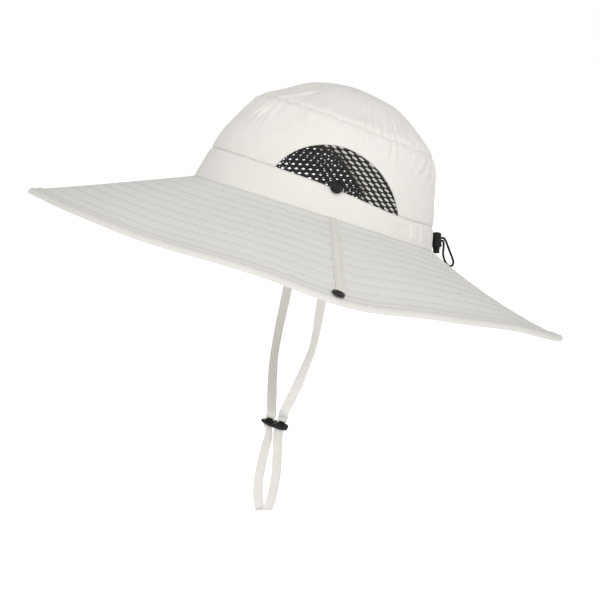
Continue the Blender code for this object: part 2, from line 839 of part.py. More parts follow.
def strap_path(side):
    """Points and twists down one side of the strap, from its anchor to the loop's lowest point."""
    middle, length, down = slider_place()
    angle = STRAP_ANCHOR_ANGLE if side > 0 else math.pi - STRAP_ANCHOR_ANGLE
    depth = CLOTH + GAP + STRAP_THICKNESS / 2.0
    anchored = []
    for share in (1.0, 0.66, 0.33, 0.0):
        level = level_at(STRAP_ANCHOR_RISE * share)
        spot = crown_wall(angle, level, depth + GAP * (1.0 - share))
        anchored.append(upright(spot))
    hem = anchored[-1]
    clear_of_brim = Vector((0.0, 0.0, -2.5 * BRIM_THICKNESS))
    below = upright(crown_wall(angle, 0.0, depth + 3.0 * GAP) + clear_of_brim)
    slot = middle + length * slot_spacing() * side
    upper = slot - down * (SLIDER_THICKNESS / 2.0 + SLIDER_COLLAR_HEIGHT + 4.0 * GAP)
    lower = slot + down * (SLIDER_THICKNESS / 2.0 + 3.0 * GAP)

    leg = [(point, 0.0) for point in anchored + [below]]
    for row in LEFT_LEG if side > 0 else RIGHT_LEG:
        x = hem.x * row.side
        y = hem.y + (upper.y - hem.y) * row.ahead
        z = hem.z + (upper.z - hem.z) * row.down
        leg.append((Vector((x, y, z)), math.radians(row.twist)))
    above = upper - down * 0.4 * STRAP_WIDTH + Vector((0.5 * GAP * side, 0.0, 0.0))
    leg += [(point, 0.0) for point in (above, upper, slot, lower, lower + down * 0.3 * STRAP_WIDTH)]

    loop = []
    lap = 0.45 * STRAP_THICKNESS * side
    for row in LOOP_ROWS:
        across = row.rear if side > 0 else row.front
        x = lap * smooth_share((row.down - 0.5) / 0.4)
        y = middle.y + LOOP_WIDTH * across
        loop.append((Vector((x, y, middle.z - LOOP_LENGTH * row.down)), 0.0))
    return leg, loop


def ribbon_mesh(side):
    """One side of the strap as a twisted flat ribbon."""
    leg, loop = strap_path(side)
    points = [point for point, _ in leg + loop]
    twists = [twist for _, twist in leg + loop]
    count = STRAP_STEPS * (len(points) - 1) + 1
    path = smooth_path(points, count)
    turns = [spline(twists, step / STRAP_STEPS, twists[-1]) for step in range(count)]
    _, length, _ = slider_place()
    angle = STRAP_ANCHOR_ANGLE if side > 0 else math.pi - STRAP_ANCHOR_ANGLE
    flat = level_normal(angle, 0.0)
    wall_across = upright(Vector((-flat.y, flat.x, 0.0)) * side)
    sections = []
    for at, point in enumerate(path):
        tangent = (path[min(at + 1, count - 1)] - path[max(at - 1, 0)]).normalized()
        across = wall_across.lerp(length, smooth_share(at / (0.3 * count)))
        across = (across - tangent * across.dot(tangent)).normalized()
        across = Matrix.Rotation(turns[at] * side, 3, tangent) @ across
        normal = tangent.cross(across) * (STRAP_THICKNESS / 2.0)
        half = across * (STRAP_WIDTH / 2.0)
        sections.append(
            [point - half - normal, point + half - normal, point + half + normal, point - half + normal]
        )
    return loft_along("ribbon", sections)


def add_strap(finish):
    """The chin strap: two ribbons lapped and sewn into one where the loop ends."""
    strap = place("chin_strap", ribbon_mesh(1), finish)
    other = as_cutter(bpy.data.objects.new("strap_right_side", ribbon_mesh(-1)))
    boolean(strap, other, "UNION")
    return strap


def box_mesh(name, size, bevel=0.0):
    """A mesh box of that size, with its upright edges rounded."""
    work = bmesh.new()
    bmesh.ops.create_cube(work, size=1.0)
    bmesh.ops.scale(work, vec=size, verts=work.verts)
    if bevel:
        upright_edges = [
            edge for edge in work.edges if abs(edge.verts[0].co.z - edge.verts[1].co.z) > 1e-9
        ]
        bmesh.ops.bevel(work, geom=upright_edges, offset=bevel, segments=3, affect="EDGES")
    mesh = bpy.data.meshes.new(name)
    work.to_mesh(mesh)
    work.free()
    return mesh


def add_slider(finish):
    """An oval plate with two collared slots in line, which the strap's sides go down through."""
    middle, length, down = slider_place()
    where = facing(middle, -down, length)
    half_length = slot_spacing() + slot_length() / 2.0 + SLIDER_END_WALL
    work = bmesh.new()
    bmesh.ops.create_cone(
        work, cap_ends=True, segments=24, radius1=1.0, radius2=1.0, depth=SLIDER_THICKNESS
    )
    bmesh.ops.scale(work, vec=(SLIDER_WIDTH / 2.0, half_length, 1.0), verts=work.verts)
    rims = [edge for edge in work.edges if abs(edge.verts[0].co.z - edge.verts[1].co.z) < 1e-9]
    bmesh.ops.bevel(work, geom=rims, offset=SLIDER_THICKNESS * 0.3, segments=2, affect="EDGES")
    mesh = bpy.data.meshes.new("strap_slider")
    work.to_mesh(mesh)
    work.free()
    slider = place("strap_slider", mesh, finish)
    slider.matrix_world = where
    slot_width = STRAP_THICKNESS + 2.0 * SLOT_CLEARANCE
    for side in (1, -1):
        spot = Vector((0.0, slot_spacing() * side, 0.0))
        size = (
            slot_width + 2.0 * SLIDER_COLLAR_WALL,
            slot_length() + 2.0 * SLIDER_COLLAR_WALL - SLIDER_BAR * 0.4,
            SLIDER_COLLAR_HEIGHT + SLIDER_THICKNESS * 0.5,
        )
        collar = as_cutter(
            bpy.data.objects.new("collar", box_mesh("collar", size, SLIDER_COLLAR_WALL))
        )
        lift = Vector((0.0, 0.0, SLIDER_THICKNESS * 0.25 + SLIDER_COLLAR_HEIGHT / 2.0))
        collar.matrix_world = where @ Matrix.Translation(spot + lift)
        boolean(slider, collar, "UNION")
    for side in (1, -1):
        size = (slot_width, slot_length(), SLIDER_THICKNESS * 4.0)
        slot = as_cutter(bpy.data.objects.new("slot", box_mesh("slot", size)))
        spot = Vector((0.0, slot_spacing() * side, 0.0))
        slot.matrix_world = where @ Matrix.Translation(spot)
        boolean(slider, slot)
    return slider


# Draw cord and lock

def cord_exit():
    """The point of the band's back, in the upright frame, that the draw cord leaves from."""
    return upright(plain_crown(math.pi / 2.0, level_at(CORD_EXIT_RISE)))


def add_cord(finish):
    """The cord's free run: out through the lock, around its loop and back through the lock."""
    start = cord_exit()
    half = CORD_ROUTE[0][1]
    route = [(GAP, half), (GAP + LOCK_STANDOFF, half)]
    route += list(CORD_ROUTE)
    route += [(GAP + LOCK_STANDOFF, -half), (GAP, -half)]
    points = [start + Vector((0.0, back, up)) for back, up in route]
    path = smooth_path(points, CORD_POINTS)
    curve = bpy.data.curves.new("draw_cord", "CURVE")
    curve.dimensions = "3D"
    curve.bevel_depth = CORD_DIAMETER / 2.0
    curve.bevel_resolution = 2
    curve.use_fill_caps = True
    line = curve.splines.new("POLY")
    line.points.add(len(path) - 1)
    for knot, point in zip(line.points, path):
        knot.co = (*point, 1.0)
    return place("draw_cord", curve, finish)


def lock_sizes():
    """The lock's heights, measured up from the middle between the cord's two strands."""
    stack = CORD_ROUTE[0][1] + CORD_DIAMETER / 2.0
    slot = stack + LOCK_SLOT_CLEARANCE
    Heights = namedtuple("Heights", "slot bottom plunger_top cavity_top top plunger_end")
    plunger_top = slot + PLUNGER_BRIDGE
    cavity_top = plunger_top + PLUNGER_TRAVEL + LOCK_SPARE
    bottom = -slot - LOCK_SLOT_SILL
    return Heights(
        slot, bottom, plunger_top, cavity_top, cavity_top + LOCK_WALL, bottom - PLUNGER_OUT
    )


def add_lock(body_finish, plunger_finish):
    """The cord lock: a capped barrel and the spring button inside it, both slotted for the cord."""
    heights = lock_sizes()
    outer = LOCK_BORE_RADIUS + LOCK_WALL
    middle = cord_exit() + Vector((0.0, LOCK_STANDOFF + outer, 0.0))
    barrel = turned(
        "cord_lock_barrel",
        (
            (0.0, heights.top),
            (outer * 0.55, heights.top),
            (outer * 0.88, heights.top - LOCK_WALL * 0.45),
            (outer, heights.top - LOCK_WALL * 1.3),
            (outer, heights.bottom + LOCK_WALL * 0.4),
            (outer - LOCK_WALL * 0.3, heights.bottom),
            (LOCK_BORE_RADIUS, heights.bottom),
            (LOCK_BORE_RADIUS, heights.cavity_top),
            (0.0, heights.cavity_top),
        ),
        LOCK_SIDES,
        body_finish,
        None,
    )
    barrel.location = middle
    shaft = LOCK_BORE_RADIUS - LOCK_RUNNING_GAP
    plunger = turned(
        "cord_lock_plunger",
        (
            (0.0, heights.plunger_top),
            (shaft, heights.plunger_top),
            (shaft, heights.plunger_end + PLUNGER_LIP * 1.4),
            (shaft + LOCK_WALL * 0.35, heights.plunger_end + PLUNGER_LIP),
            (shaft + LOCK_WALL * 0.35, heights.plunger_end + PLUNGER_LIP * 0.3),
            (shaft, heights.plunger_end),
            (0.0, heights.plunger_end),
        ),
        LOCK_SIDES,
        plunger_finish,
        None,
    )
    plunger.location = middle
    width = CORD_DIAMETER + 2.0 * LOCK_SLOT_CLEARANCE
    deep = 4.0 * outer
    barrel_slot = as_cutter(
        bpy.data.objects.new("barrel_slot", box_mesh("slot", (width, deep, 2.0 * heights.slot)))
    )
    barrel_slot.location = middle
    boolean(barrel, barrel_slot)
    tall = 2.0 * heights.slot + PLUNGER_TRAVEL
    plunger_slot = as_cutter(
        bpy.data.objects.new("plunger_slot", box_mesh("slot", (width, deep, tall)))
    )
    plunger_slot.location = middle - Vector((0.0, 0.0, PLUNGER_TRAVEL / 2.0))
    boolean(plunger, plunger_slot)


def build_hat():
    """Every piece of the hat."""
    axes = bpy.data.objects.new("hat_axes", None)
    axes.rotation_euler = (-TILT, 0.0, 0.0)
    PARTS.objects.link(axes)

    shell = material("ripstop_cloth", CLOTH_COLOUR, 0.85)
    quilted = material("quilted_brim_cloth", BRIM_COLOUR, 0.88)
    taped = material("binding_tape", BINDING_COLOUR, 0.80)
    webbing = material("strap_webbing", STRAP_COLOUR, 0.85)
    netting = material("black_net", NET_COLOUR, 0.70)
    plastic = material("black_plastic", PLASTIC_COLOUR, 0.40)
    elastic = material("elastic_cord", CORD_COLOUR, 0.75)

    loft_ring("crown_band", band_section, shell, axes)
    side_panel = loft_ring("crown_side", side_section, shell, axes)
    loft_ring("crown_tip", tip_section, shell, axes)
    brim = loft_ring("brim", brim_section, quilted, axes)
    binding = loft_ring("brim_binding", binding_section, taped, axes)

    for side, label in ((1, "left"), (-1, "right")):
        boolean(side_panel, window_cutter(side, axes))
        net = net_panel(side, f"net_{label}", netting, axes)
        side_tape(side, f"side_tape_{label}", taped, axes)
        add_studs(side, label, brim, binding, net, plastic, axes)

    add_strap(webbing)
    add_slider(plastic)
    add_cord(elastic)
    add_lock(plastic, plastic)


clear_scene()
PARTS = collection("sun_hat")
CUTTERS = collection("cutters")
build_hat()
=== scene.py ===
"""The looks of a wide brim sun hat: gathered cloth crown, quilted brim, net, strap, cord and lock.

The hat's own axes have Z = 0 at the brim seam, -Y to the front and +X to the wearer's left. They
are tipped back by TILT, and the chin strap and the draw cord hang in the upright frame. Lengths
are in metres, and a name that ends in _mm is in millimetres.
"""

import logging
import math
from dataclasses import dataclass, field
from enum import Enum
from typing import Any, Sequence

import bmesh
import bpy
import numpy as np
from mathutils import Matrix, Vector


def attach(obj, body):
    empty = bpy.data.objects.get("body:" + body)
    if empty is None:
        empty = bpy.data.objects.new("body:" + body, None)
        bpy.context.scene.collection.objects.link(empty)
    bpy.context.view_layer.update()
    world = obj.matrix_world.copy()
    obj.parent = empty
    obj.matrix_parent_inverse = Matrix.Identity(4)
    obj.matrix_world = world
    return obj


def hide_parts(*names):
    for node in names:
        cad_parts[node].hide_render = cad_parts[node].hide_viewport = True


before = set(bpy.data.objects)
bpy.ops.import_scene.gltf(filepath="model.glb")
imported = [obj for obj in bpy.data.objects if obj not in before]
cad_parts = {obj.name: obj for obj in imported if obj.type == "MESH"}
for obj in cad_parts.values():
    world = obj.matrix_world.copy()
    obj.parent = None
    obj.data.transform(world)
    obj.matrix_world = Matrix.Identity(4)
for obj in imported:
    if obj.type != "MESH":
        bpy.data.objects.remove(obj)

LOG = logging.getLogger("sun_hat")
TILT = math.radians(18.0)
BODY = "hat"

Array = np.ndarray
Piece = bpy.types.Object
Material = bpy.types.Material
Tree = bpy.types.NodeTree
Socket = bpy.types.NodeSocket
Corner = tuple[float, float, float]
Section = Sequence[tuple[float, float]]
Rows = list[tuple[Array, Array]]


class Side(Enum):
    """The wearer's side: the sign of X there, and its name on the pieces."""

    LEFT = (1, "left")
    RIGHT = (-1, "right")

    @property
    def sign(self) -> int:
        """1 for the left and -1 for the right."""
        return self.value[0]

    @property
    def label(self) -> str:
        """The side's word in a piece's name."""
        return self.value[1]


class Slot(Enum):
    """The record's material slots."""

    SHELL = "shell"
    BRIM = "brim"
    BINDING = "binding"
    WEBBING = "webbing"
    NET = "net"
    PLASTIC = "plastic"
    CORD = "cord"


# Small tools for numbers


def tipped(points: Array) -> Array:
    """Tips points as the hat is tipped.

    Args:
        points: X, Y and Z in the last axis, in the hat's own axes.

    Returns:
        The same points in the upright frame.
    """
    flat = np.asarray(points, dtype=float)
    sine, cosine = math.sin(TILT), math.cos(TILT)
    out = flat.copy()
    out[..., 1] = cosine * flat[..., 1] + sine * flat[..., 2]
    out[..., 2] = -sine * flat[..., 1] + cosine * flat[..., 2]
    return out


def unit(vectors: Array) -> Array:
    """Vectors scaled to length 1."""
    return vectors / np.maximum(np.linalg.norm(vectors, axis=-1, keepdims=True), 1e-12)


def smooth_step(value: Array | float) -> Array:
    """A smooth step from 0 to 1."""
    value = np.clip(value, 0.0, 1.0)
    return value * value * (3.0 - 2.0 * value)


def spline(values: Sequence[float], at: Array | float, beyond: float) -> Array:
    """Reads a Catmull-Rom curve.

    Args:
        values: The values at the whole numbers.
        at: Where the curve is read.
        beyond: The value past the last one, which sets how the curve ends.

    Returns:
        The curve's value at each place.
    """
    column = np.asarray(values, dtype=float)
    padded = np.concatenate([[2.0 * column[0] - column[1]], column, [beyond]])
    place = np.asarray(at, dtype=float)
    low = np.clip(np.floor(place).astype(int), 0, len(column) - 2)
    share = place - low
    before, start, end, after = (padded[low + step] for step in range(4))
    return 0.5 * (
        2.0 * start
        + (end - before) * share
        + (2.0 * before - 5.0 * start + 4.0 * end - after) * share**2
        + (3.0 * start - before - 3.0 * end + after) * share**3
    )


def smooth_path(points: Array, steps: int) -> Array:
    """Draws a Catmull-Rom curve.

    Args:
        points: The points that the curve passes.
        steps: Steps from each of them to the next.

    Returns:
        Points along the curve.
    """
    knots = np.asarray(points, dtype=float)
    at = np.arange(steps * (len(knots) - 1) + 1) / steps
    beyond = 2.0 * knots[-1] - knots[-2]
    return np.stack([spline(knots[:, k], at, beyond[k]) for k in range(3)], axis=-1)


def run_along(path: Array) -> Array:
    """Distance along a path at each of its points."""
    return np.concatenate([[0.0], np.cumsum(np.linalg.norm(np.diff(path, axis=0), axis=1))])


def read_path(at: Array, run: Array, path: Array) -> Array:
    """Reads a path, or directions along it, at some distances.

    Args:
        at: The distances.
        run: The distance at each of its points.
        path: Its points.

    Returns:
        A point or direction for each distance.
    """
    return np.stack([np.interp(at, run, path[:, k]) for k in range(3)], axis=-1)


def even_path(points: Array, spacing: float) -> Array:
    """Spaces a path's points evenly.

    Args:
        points: Points along the path.
        spacing: How far apart the new ones are, within a rounding.

    Returns:
        The path's new points.
    """
    run = run_along(points)
    count = max(2, int(round(run[-1] / spacing)) + 1)
    return read_path(np.linspace(0.0, run[-1], count), run, points)


def rumple(seed: int, turns: Array, rise: Array, waves: Sequence[tuple[int, float]]) -> Array:
    """A soft unevenness that closes round the hat.

    Args:
        seed: Fixes the phases.
        turns: Angle round the hat.
        rise: Height, in metres.
        waves: Whole waves round the hat, and the height of one wave in metres.

    Returns:
        A value of about -1 to 1 at each place.
    """
    dice = np.random.default_rng(seed)
    total = np.zeros(np.broadcast(turns, rise).shape)
    for around, tall in waves:
        phase, lean = dice.uniform(0.0, 2.0 * math.pi, 2)
        total = total + np.sin(around * turns + phase) * np.cos(2.0 * math.pi * rise / tall + lean)
    return total / max(1.0, math.sqrt(len(waves)))


# Small tools for meshes


def linear(hex_code: str, alpha: float = 1.0) -> tuple[float, float, float, float]:
    """Turns an sRGB hex colour to linear.

    Args:
        hex_code: The sRGB colour, in six hex digits.
        alpha: Its alpha.

    Returns:
        Linear red, green and blue, and the alpha.
    """
    channels = [int(hex_code[at : at + 2], 16) / 255.0 for at in (0, 2, 4)]
    lin = [c / 12.92 if c <= 0.04045 else ((c + 0.055) / 1.055) ** 2.4 for c in channels]
    return (lin[0], lin[1], lin[2], alpha)


def add_node(
    tree: Tree,
    kind: str,
    settings: dict[str, Any] | None = None,
    inputs: dict[str | int, Any] | None = None,
) -> bpy.types.Node:
    """Adds a node with its settings and links.

    Args:
        tree: Where it is added.
        kind: The node's type.
        settings: Properties of the node.
        inputs: What goes in each input socket, by name or index: a value, or a socket to link.

    Returns:
        The node.
    """
    node = tree.nodes.new(kind)
    for name, value in (settings or {}).items():
        setattr(node, name, value)
    for name, value in (inputs or {}).items():
        if isinstance(value, Socket):
            tree.links.new(value, node.inputs[name])
        else:
            node.inputs[name].default_value = value
    return node


def make_mesh(
    name: str, corners: Array, faces: Sequence[Sequence[int]], uv: Array | None = None
) -> Piece:
    """Makes a smooth shaded mesh object.

    Args:
        name: The piece's name.
        corners: Its corners.
        faces: Its faces, as corner numbers.
        uv: A place on the cloth for each corner, in metres.

    Returns:
        The object, linked to the scene.
    """
    mesh = bpy.data.meshes.new(name)
    mesh.from_pydata(np.asarray(corners, dtype=float).tolist(), [], [list(face) for face in faces])
    if uv is not None:
        layer = mesh.uv_layers.new(name="cloth")
        loops = np.zeros(len(mesh.loops), dtype=int)
        mesh.loops.foreach_get("vertex_index", loops)
        layer.data.foreach_set("uv", np.asarray(uv, dtype=float)[loops].ravel())
    mesh.shade_smooth()
    made = bpy.data.objects.new(name, mesh)
    bpy.context.scene.collection.objects.link(made)
    return made


def grid_faces(rows: int, columns: int, wrap: bool = False, start: int = 0) -> list[tuple[int, ...]]:
    """Faces of a grid of corners.

    Args:
        rows: Rows of corners, which are numbered row by row.
        columns: Corners in a row.
        wrap: Whether the last column joins the first.
        start: The first corner's number.

    Returns:
        The faces, as corner numbers.
    """
    faces = []
    for row in range(rows - 1):
        for column in range(columns if wrap else columns - 1):
            here = start + row * columns + column
            onward = start + row * columns + (column + 1) % columns
            faces.append((here, onward, onward + columns, here + columns))
    return faces


def tube_faces(rings: int, sides: int, start: int = 0) -> list[tuple[int, ...]]:
    """Faces of a tube of closed rings.

    Args:
        rings: Rings along the tube.
        sides: Corners in a ring.
        start: The first corner's number.

    Returns:
        The faces, both ends capped, as corner numbers.
    """
    faces = grid_faces(rings, sides, wrap=True, start=start)
    faces.append(tuple(start + side for side in reversed(range(sides))))
    faces.append(tuple(start + (rings - 1) * sides + side for side in range(sides)))
    return faces


def face_out(piece: Piece) -> None:
    """Welds a closed mesh and turns its faces outwards.

    Args:
        piece: The piece, whose mesh is changed.
    """
    work = bmesh.new()
    work.from_mesh(piece.data)
    bmesh.ops.remove_doubles(work, verts=work.verts, dist=1e-6)
    bmesh.ops.recalc_face_normals(work, faces=work.faces)
    work.to_mesh(piece.data)
    work.free()


def baked(piece: Piece) -> Piece:
    """Turns what the modifiers make into the piece's plain mesh.

    Args:
        piece: The piece, whose modifiers are removed.

    Returns:
        The piece.
    """
    seen = piece.evaluated_get(bpy.context.evaluated_depsgraph_get())
    mesh = bpy.data.meshes.new_from_object(seen)
    mesh.name = piece.name
    piece.modifiers.clear()
    piece.data = mesh
    return piece


def turned(name: str, profile: Section, sides: int, place: Matrix) -> Piece:
    """Makes a turned piece.

    Args:
        name: Its name.
        profile: Radius and height of its half section, from the top of its axis to the bottom.
        sides: Steps round the axis.
        place: Where it stands; its axis is Z there.

    Returns:
        The piece, closed at both poles.
    """
    corners, faces = [], []
    turns = np.linspace(0.0, 2.0 * math.pi, sides, endpoint=False)
    for radius, height in profile[1:-1]:
        corners += [(radius * math.cos(t), radius * math.sin(t), height) for t in turns]
    rings = len(profile) - 2
    for row in range(rings - 1):
        for side in range(sides):
            here, onward = row * sides + side, row * sides + (side + 1) % sides
            faces.append((here, here + sides, onward + sides, onward))
    top, bottom = len(corners), len(corners) + 1
    corners += [(0.0, 0.0, profile[0][1]), (0.0, 0.0, profile[-1][1])]
    last = (rings - 1) * sides
    for side in range(sides):
        onward = (side + 1) % sides
        faces.append((top, side, onward))
        faces.append((bottom, last + onward, last + side))
    made = make_mesh(name, np.array(corners), faces)
    made.data.transform(place)
    return made


def rounded(profile: Section, radius: float, steps: int = 3) -> list[tuple[float, float]]:
    """Rounds each corner of a half section between its ends.

    Args:
        profile: Radius and height of the section's corners.
        radius: How far from a corner its rounding starts, at most.
        steps: Steps round each corner.

    Returns:
        The rounded section.
    """
    out = [profile[0]]
    for before, here, after in zip(profile, profile[1:], profile[2:]):
        corner = Vector(here)
        back, onward = Vector(before) - corner, Vector(after) - corner
        reach = min(radius, back.length * 0.45, onward.length * 0.45)
        start = corner + back.normalized() * reach
        end = corner + onward.normalized() * reach
        for step in range(steps + 1):
            share = step / steps
            spot = start * (1 - share) ** 2 + corner * 2 * share * (1 - share) + end * share**2
            out.append((max(spot.x, 1e-5), spot.y))
    out.append(profile[-1])
    return out


def block(size: Corner, spot: Vector, bevel: float = 0.0, all_edges: bool = False) -> Piece:
    """Makes a box to join or cut.

    Args:
        size: Its lengths along X, Y and Z.
        spot: Its middle.
        bevel: How far its upright edges are rounded.
        all_edges: Whether its level edges are rounded too.

    Returns:
        The box.
    """
    work = bmesh.new()
    bmesh.ops.create_cube(work, size=1.0)
    bmesh.ops.scale(work, vec=size, verts=work.verts)
    if bevel:
        edges = [
            edge
            for edge in work.edges
            if all_edges or abs(edge.verts[0].co.z - edge.verts[1].co.z) > 1e-9
        ]
        bmesh.ops.bevel(work, geom=edges, offset=bevel, segments=4, affect="EDGES")
    bmesh.ops.translate(work, vec=spot, verts=work.verts)
    mesh = bpy.data.meshes.new("block")
    work.to_mesh(mesh)
    work.free()
    made = bpy.data.objects.new("block", mesh)
    bpy.context.scene.collection.objects.link(made)
    return made


def carved(
    piece: Piece, tools: Sequence[tuple[Piece, str]], bevel: float, least: float
) -> Piece:
    """Joins and cuts a moulded piece, and softens its edges.

    Args:
        piece: The piece.
        tools: What joins or cuts it, and how; they are removed afterwards.
        bevel: How far its edges are rounded.
        least: Degrees that an edge turns at least to be rounded.

    Returns:
        The piece.
    """
    for tool, operation in tools:
        step = piece.modifiers.new("Cut", "BOOLEAN")
        step.operation = operation
        step.object = tool
    soften = piece.modifiers.new("Edges", "BEVEL")
    soften.width = bevel
    soften.segments = 2
    soften.limit_method = "ANGLE"
    soften.angle_limit = math.radians(least)
    baked(piece)
    for tool, _ in tools:
        bpy.data.objects.remove(tool)
    piece.data.shade_smooth()
    piece.data.set_sharp_from_angle(angle=math.radians(50.0))
    return piece


def facing(spot: Vector, normal: Vector, along: Vector) -> Matrix:
    """Places a piece on a surface.

    Args:
        spot: Where it stands.
        normal: Where its Z points.
        along: Where its Y points, as near as that goes.

    Returns:
        The matrix.
    """
    up = normal.normalized()
    across = along.cross(up).normalized()
    turn = Matrix((across, up.cross(across), up)).transposed().to_4x4()
    return Matrix.Translation(spot) @ turn


# Finishes

# Noise in turns a metre: patches of 36 mm, crumples of 17 mm and slubs of 2.4 mm in the cloth, and
# patches of 11 mm in the webbing
CLOUD_SCALE = 28.0
CRUMPLE_SCALE = 60.0
SLUB_SCALE = 420.0
TAPE_CLOUD_SCALE = 90.0


def start_material(
    name: str, values: dict[str, float]
) -> tuple[Material, Tree, bpy.types.Node]:
    """Starts a material.

    Args:
        name: Its name.
        values: What its shader's inputs are set to.

    Returns:
        The material, its tree and its shader.
    """
    made = bpy.data.materials.new(name)
    made.use_nodes = True
    shader = made.node_tree.nodes["Principled BSDF"]
    for key, value in values.items():
        shader.inputs[key].default_value = value
    return made, made.node_tree, shader


def wave_along(
    tree: Tree, along: Socket, pitch_mm: float
) -> Socket:
    """A sine wave for each thread along one direction of the cloth.

    Args:
        tree: Where its nodes are added.
        along: Distance along that direction, in metres.
        pitch_mm: Length of one wave.

    Returns:
        The wave, from -1 to 1.
    """
    turns = add_node(
        tree, "ShaderNodeMath", {"operation": "MULTIPLY"}, {0: along, 1: 2000.0 * math.pi / pitch_mm}
    )
    return add_node(tree, "ShaderNodeMath", {"operation": "SINE"}, {0: turns.outputs[0]}).outputs[0]


@dataclass(frozen=True)
class WovenCloth:
    """A matt woven cloth: thin dyed threads with a faint grid of thicker ones."""

    name: str
    colour: str
    shade: str
    # A real weave of 0.2 mm is too fine for the picture, so the threads are drawn this coarse
    thread_mm: float
    grid_mm: float
    grid_depth: float
    roughness: float
    sheen: float
    bump_mm: float
    crease_mm: float

    def material(self) -> Material:
        """Builds the cloth.

        Returns:
            The material, whose pattern follows the piece's own UV map in metres.
        """
        values = {
            "Roughness": self.roughness, "Sheen Weight": self.sheen, "Sheen Roughness": 0.5,
            "Specular IOR Level": 0.22,
        }
        made, tree, shader = start_material(self.name, values)
        place = add_node(tree, "ShaderNodeUVMap", {"uv_map": "cloth"}).outputs["UV"]
        apart = add_node(tree, "ShaderNodeSeparateXYZ", inputs={0: place})
        threads = [wave_along(tree, apart.outputs[axis], self.thread_mm) for axis in "XY"]
        weave = add_node(tree, "ShaderNodeMath", {"operation": "MULTIPLY"}, {0: threads[0], 1: threads[1]})
        lines = [self.lines(tree, apart.outputs[axis]) for axis in "XY"]
        grid = add_node(tree, "ShaderNodeMath", {"operation": "MAXIMUM"}, {0: lines[0], 1: lines[1]})
        position = add_node(tree, "ShaderNodeTexCoord").outputs["Object"]
        cloud = add_node(
            tree, "ShaderNodeTexNoise", inputs={"Vector": position, "Scale": CLOUD_SCALE, "Detail": 4.0}
        )
        slub = add_node(
            tree, "ShaderNodeTexNoise", inputs={"Vector": position, "Scale": SLUB_SCALE, "Detail": 2.0}
        )
        tone = add_node(
            tree, "ShaderNodeMath", {"operation": "MULTIPLY_ADD"},
            {0: grid.outputs[0], 1: self.grid_depth, 2: 0.0},
        )
        uneven = add_node(
            tree, "ShaderNodeMath", {"operation": "MULTIPLY_ADD", "use_clamp": True},
            {0: cloud.outputs["Fac"], 1: 0.5, 2: tone.outputs[0]},
        )
        colour = add_node(
            tree, "ShaderNodeMix", {"data_type": "RGBA"},
            {"Factor": uneven.outputs[0], 6: linear(self.colour), 7: linear(self.shade)},
        )
        tree.links.new(colour.outputs[2], shader.inputs["Base Color"])
        height = add_node(
            tree, "ShaderNodeMath", {"operation": "MULTIPLY_ADD"},
            {0: weave.outputs[0], 1: 0.6, 2: slub.outputs["Fac"]},
        )
        ribbed = add_node(
            tree, "ShaderNodeMath", {"operation": "MULTIPLY_ADD"},
            {0: grid.outputs[0], 1: 0.7, 2: height.outputs[0]},
        )
        fine = add_node(
            tree, "ShaderNodeBump",
            inputs={"Height": ribbed.outputs[0], "Strength": 0.55, "Distance": self.bump_mm / 1000.0},
        )
        crumple = add_node(
            tree,
            "ShaderNodeTexNoise",
            inputs={
                "Vector": position,
                "Scale": CRUMPLE_SCALE,
                "Detail": 5.0,
                "Roughness": 0.62,
                "Distortion": 0.4,
            },
        )
        creased = add_node(
            tree,
            "ShaderNodeBump",
            inputs={
                "Height": crumple.outputs["Fac"],
                "Strength": 0.5,
                "Distance": self.crease_mm / 1000.0,
                "Normal": fine.outputs["Normal"],
            },
        )
        tree.links.new(creased.outputs["Normal"], shader.inputs["Normal"])
        return made

    def lines(self, tree: Tree, along: Socket) -> Socket:
        """Thin lines, one for each thicker thread.

        Args:
            tree: Where its nodes are added.
            along: Distance along that direction, in metres.

        Returns:
            0 between the lines and up to 1 on them.
        """
        wave = wave_along(tree, along, self.grid_mm)
        lifted = add_node(
            tree, "ShaderNodeMath", {"operation": "MULTIPLY_ADD", "use_clamp": True},
            {0: wave, 1: 2.2, 2: -1.1},
        )
        return lifted.outputs[0]


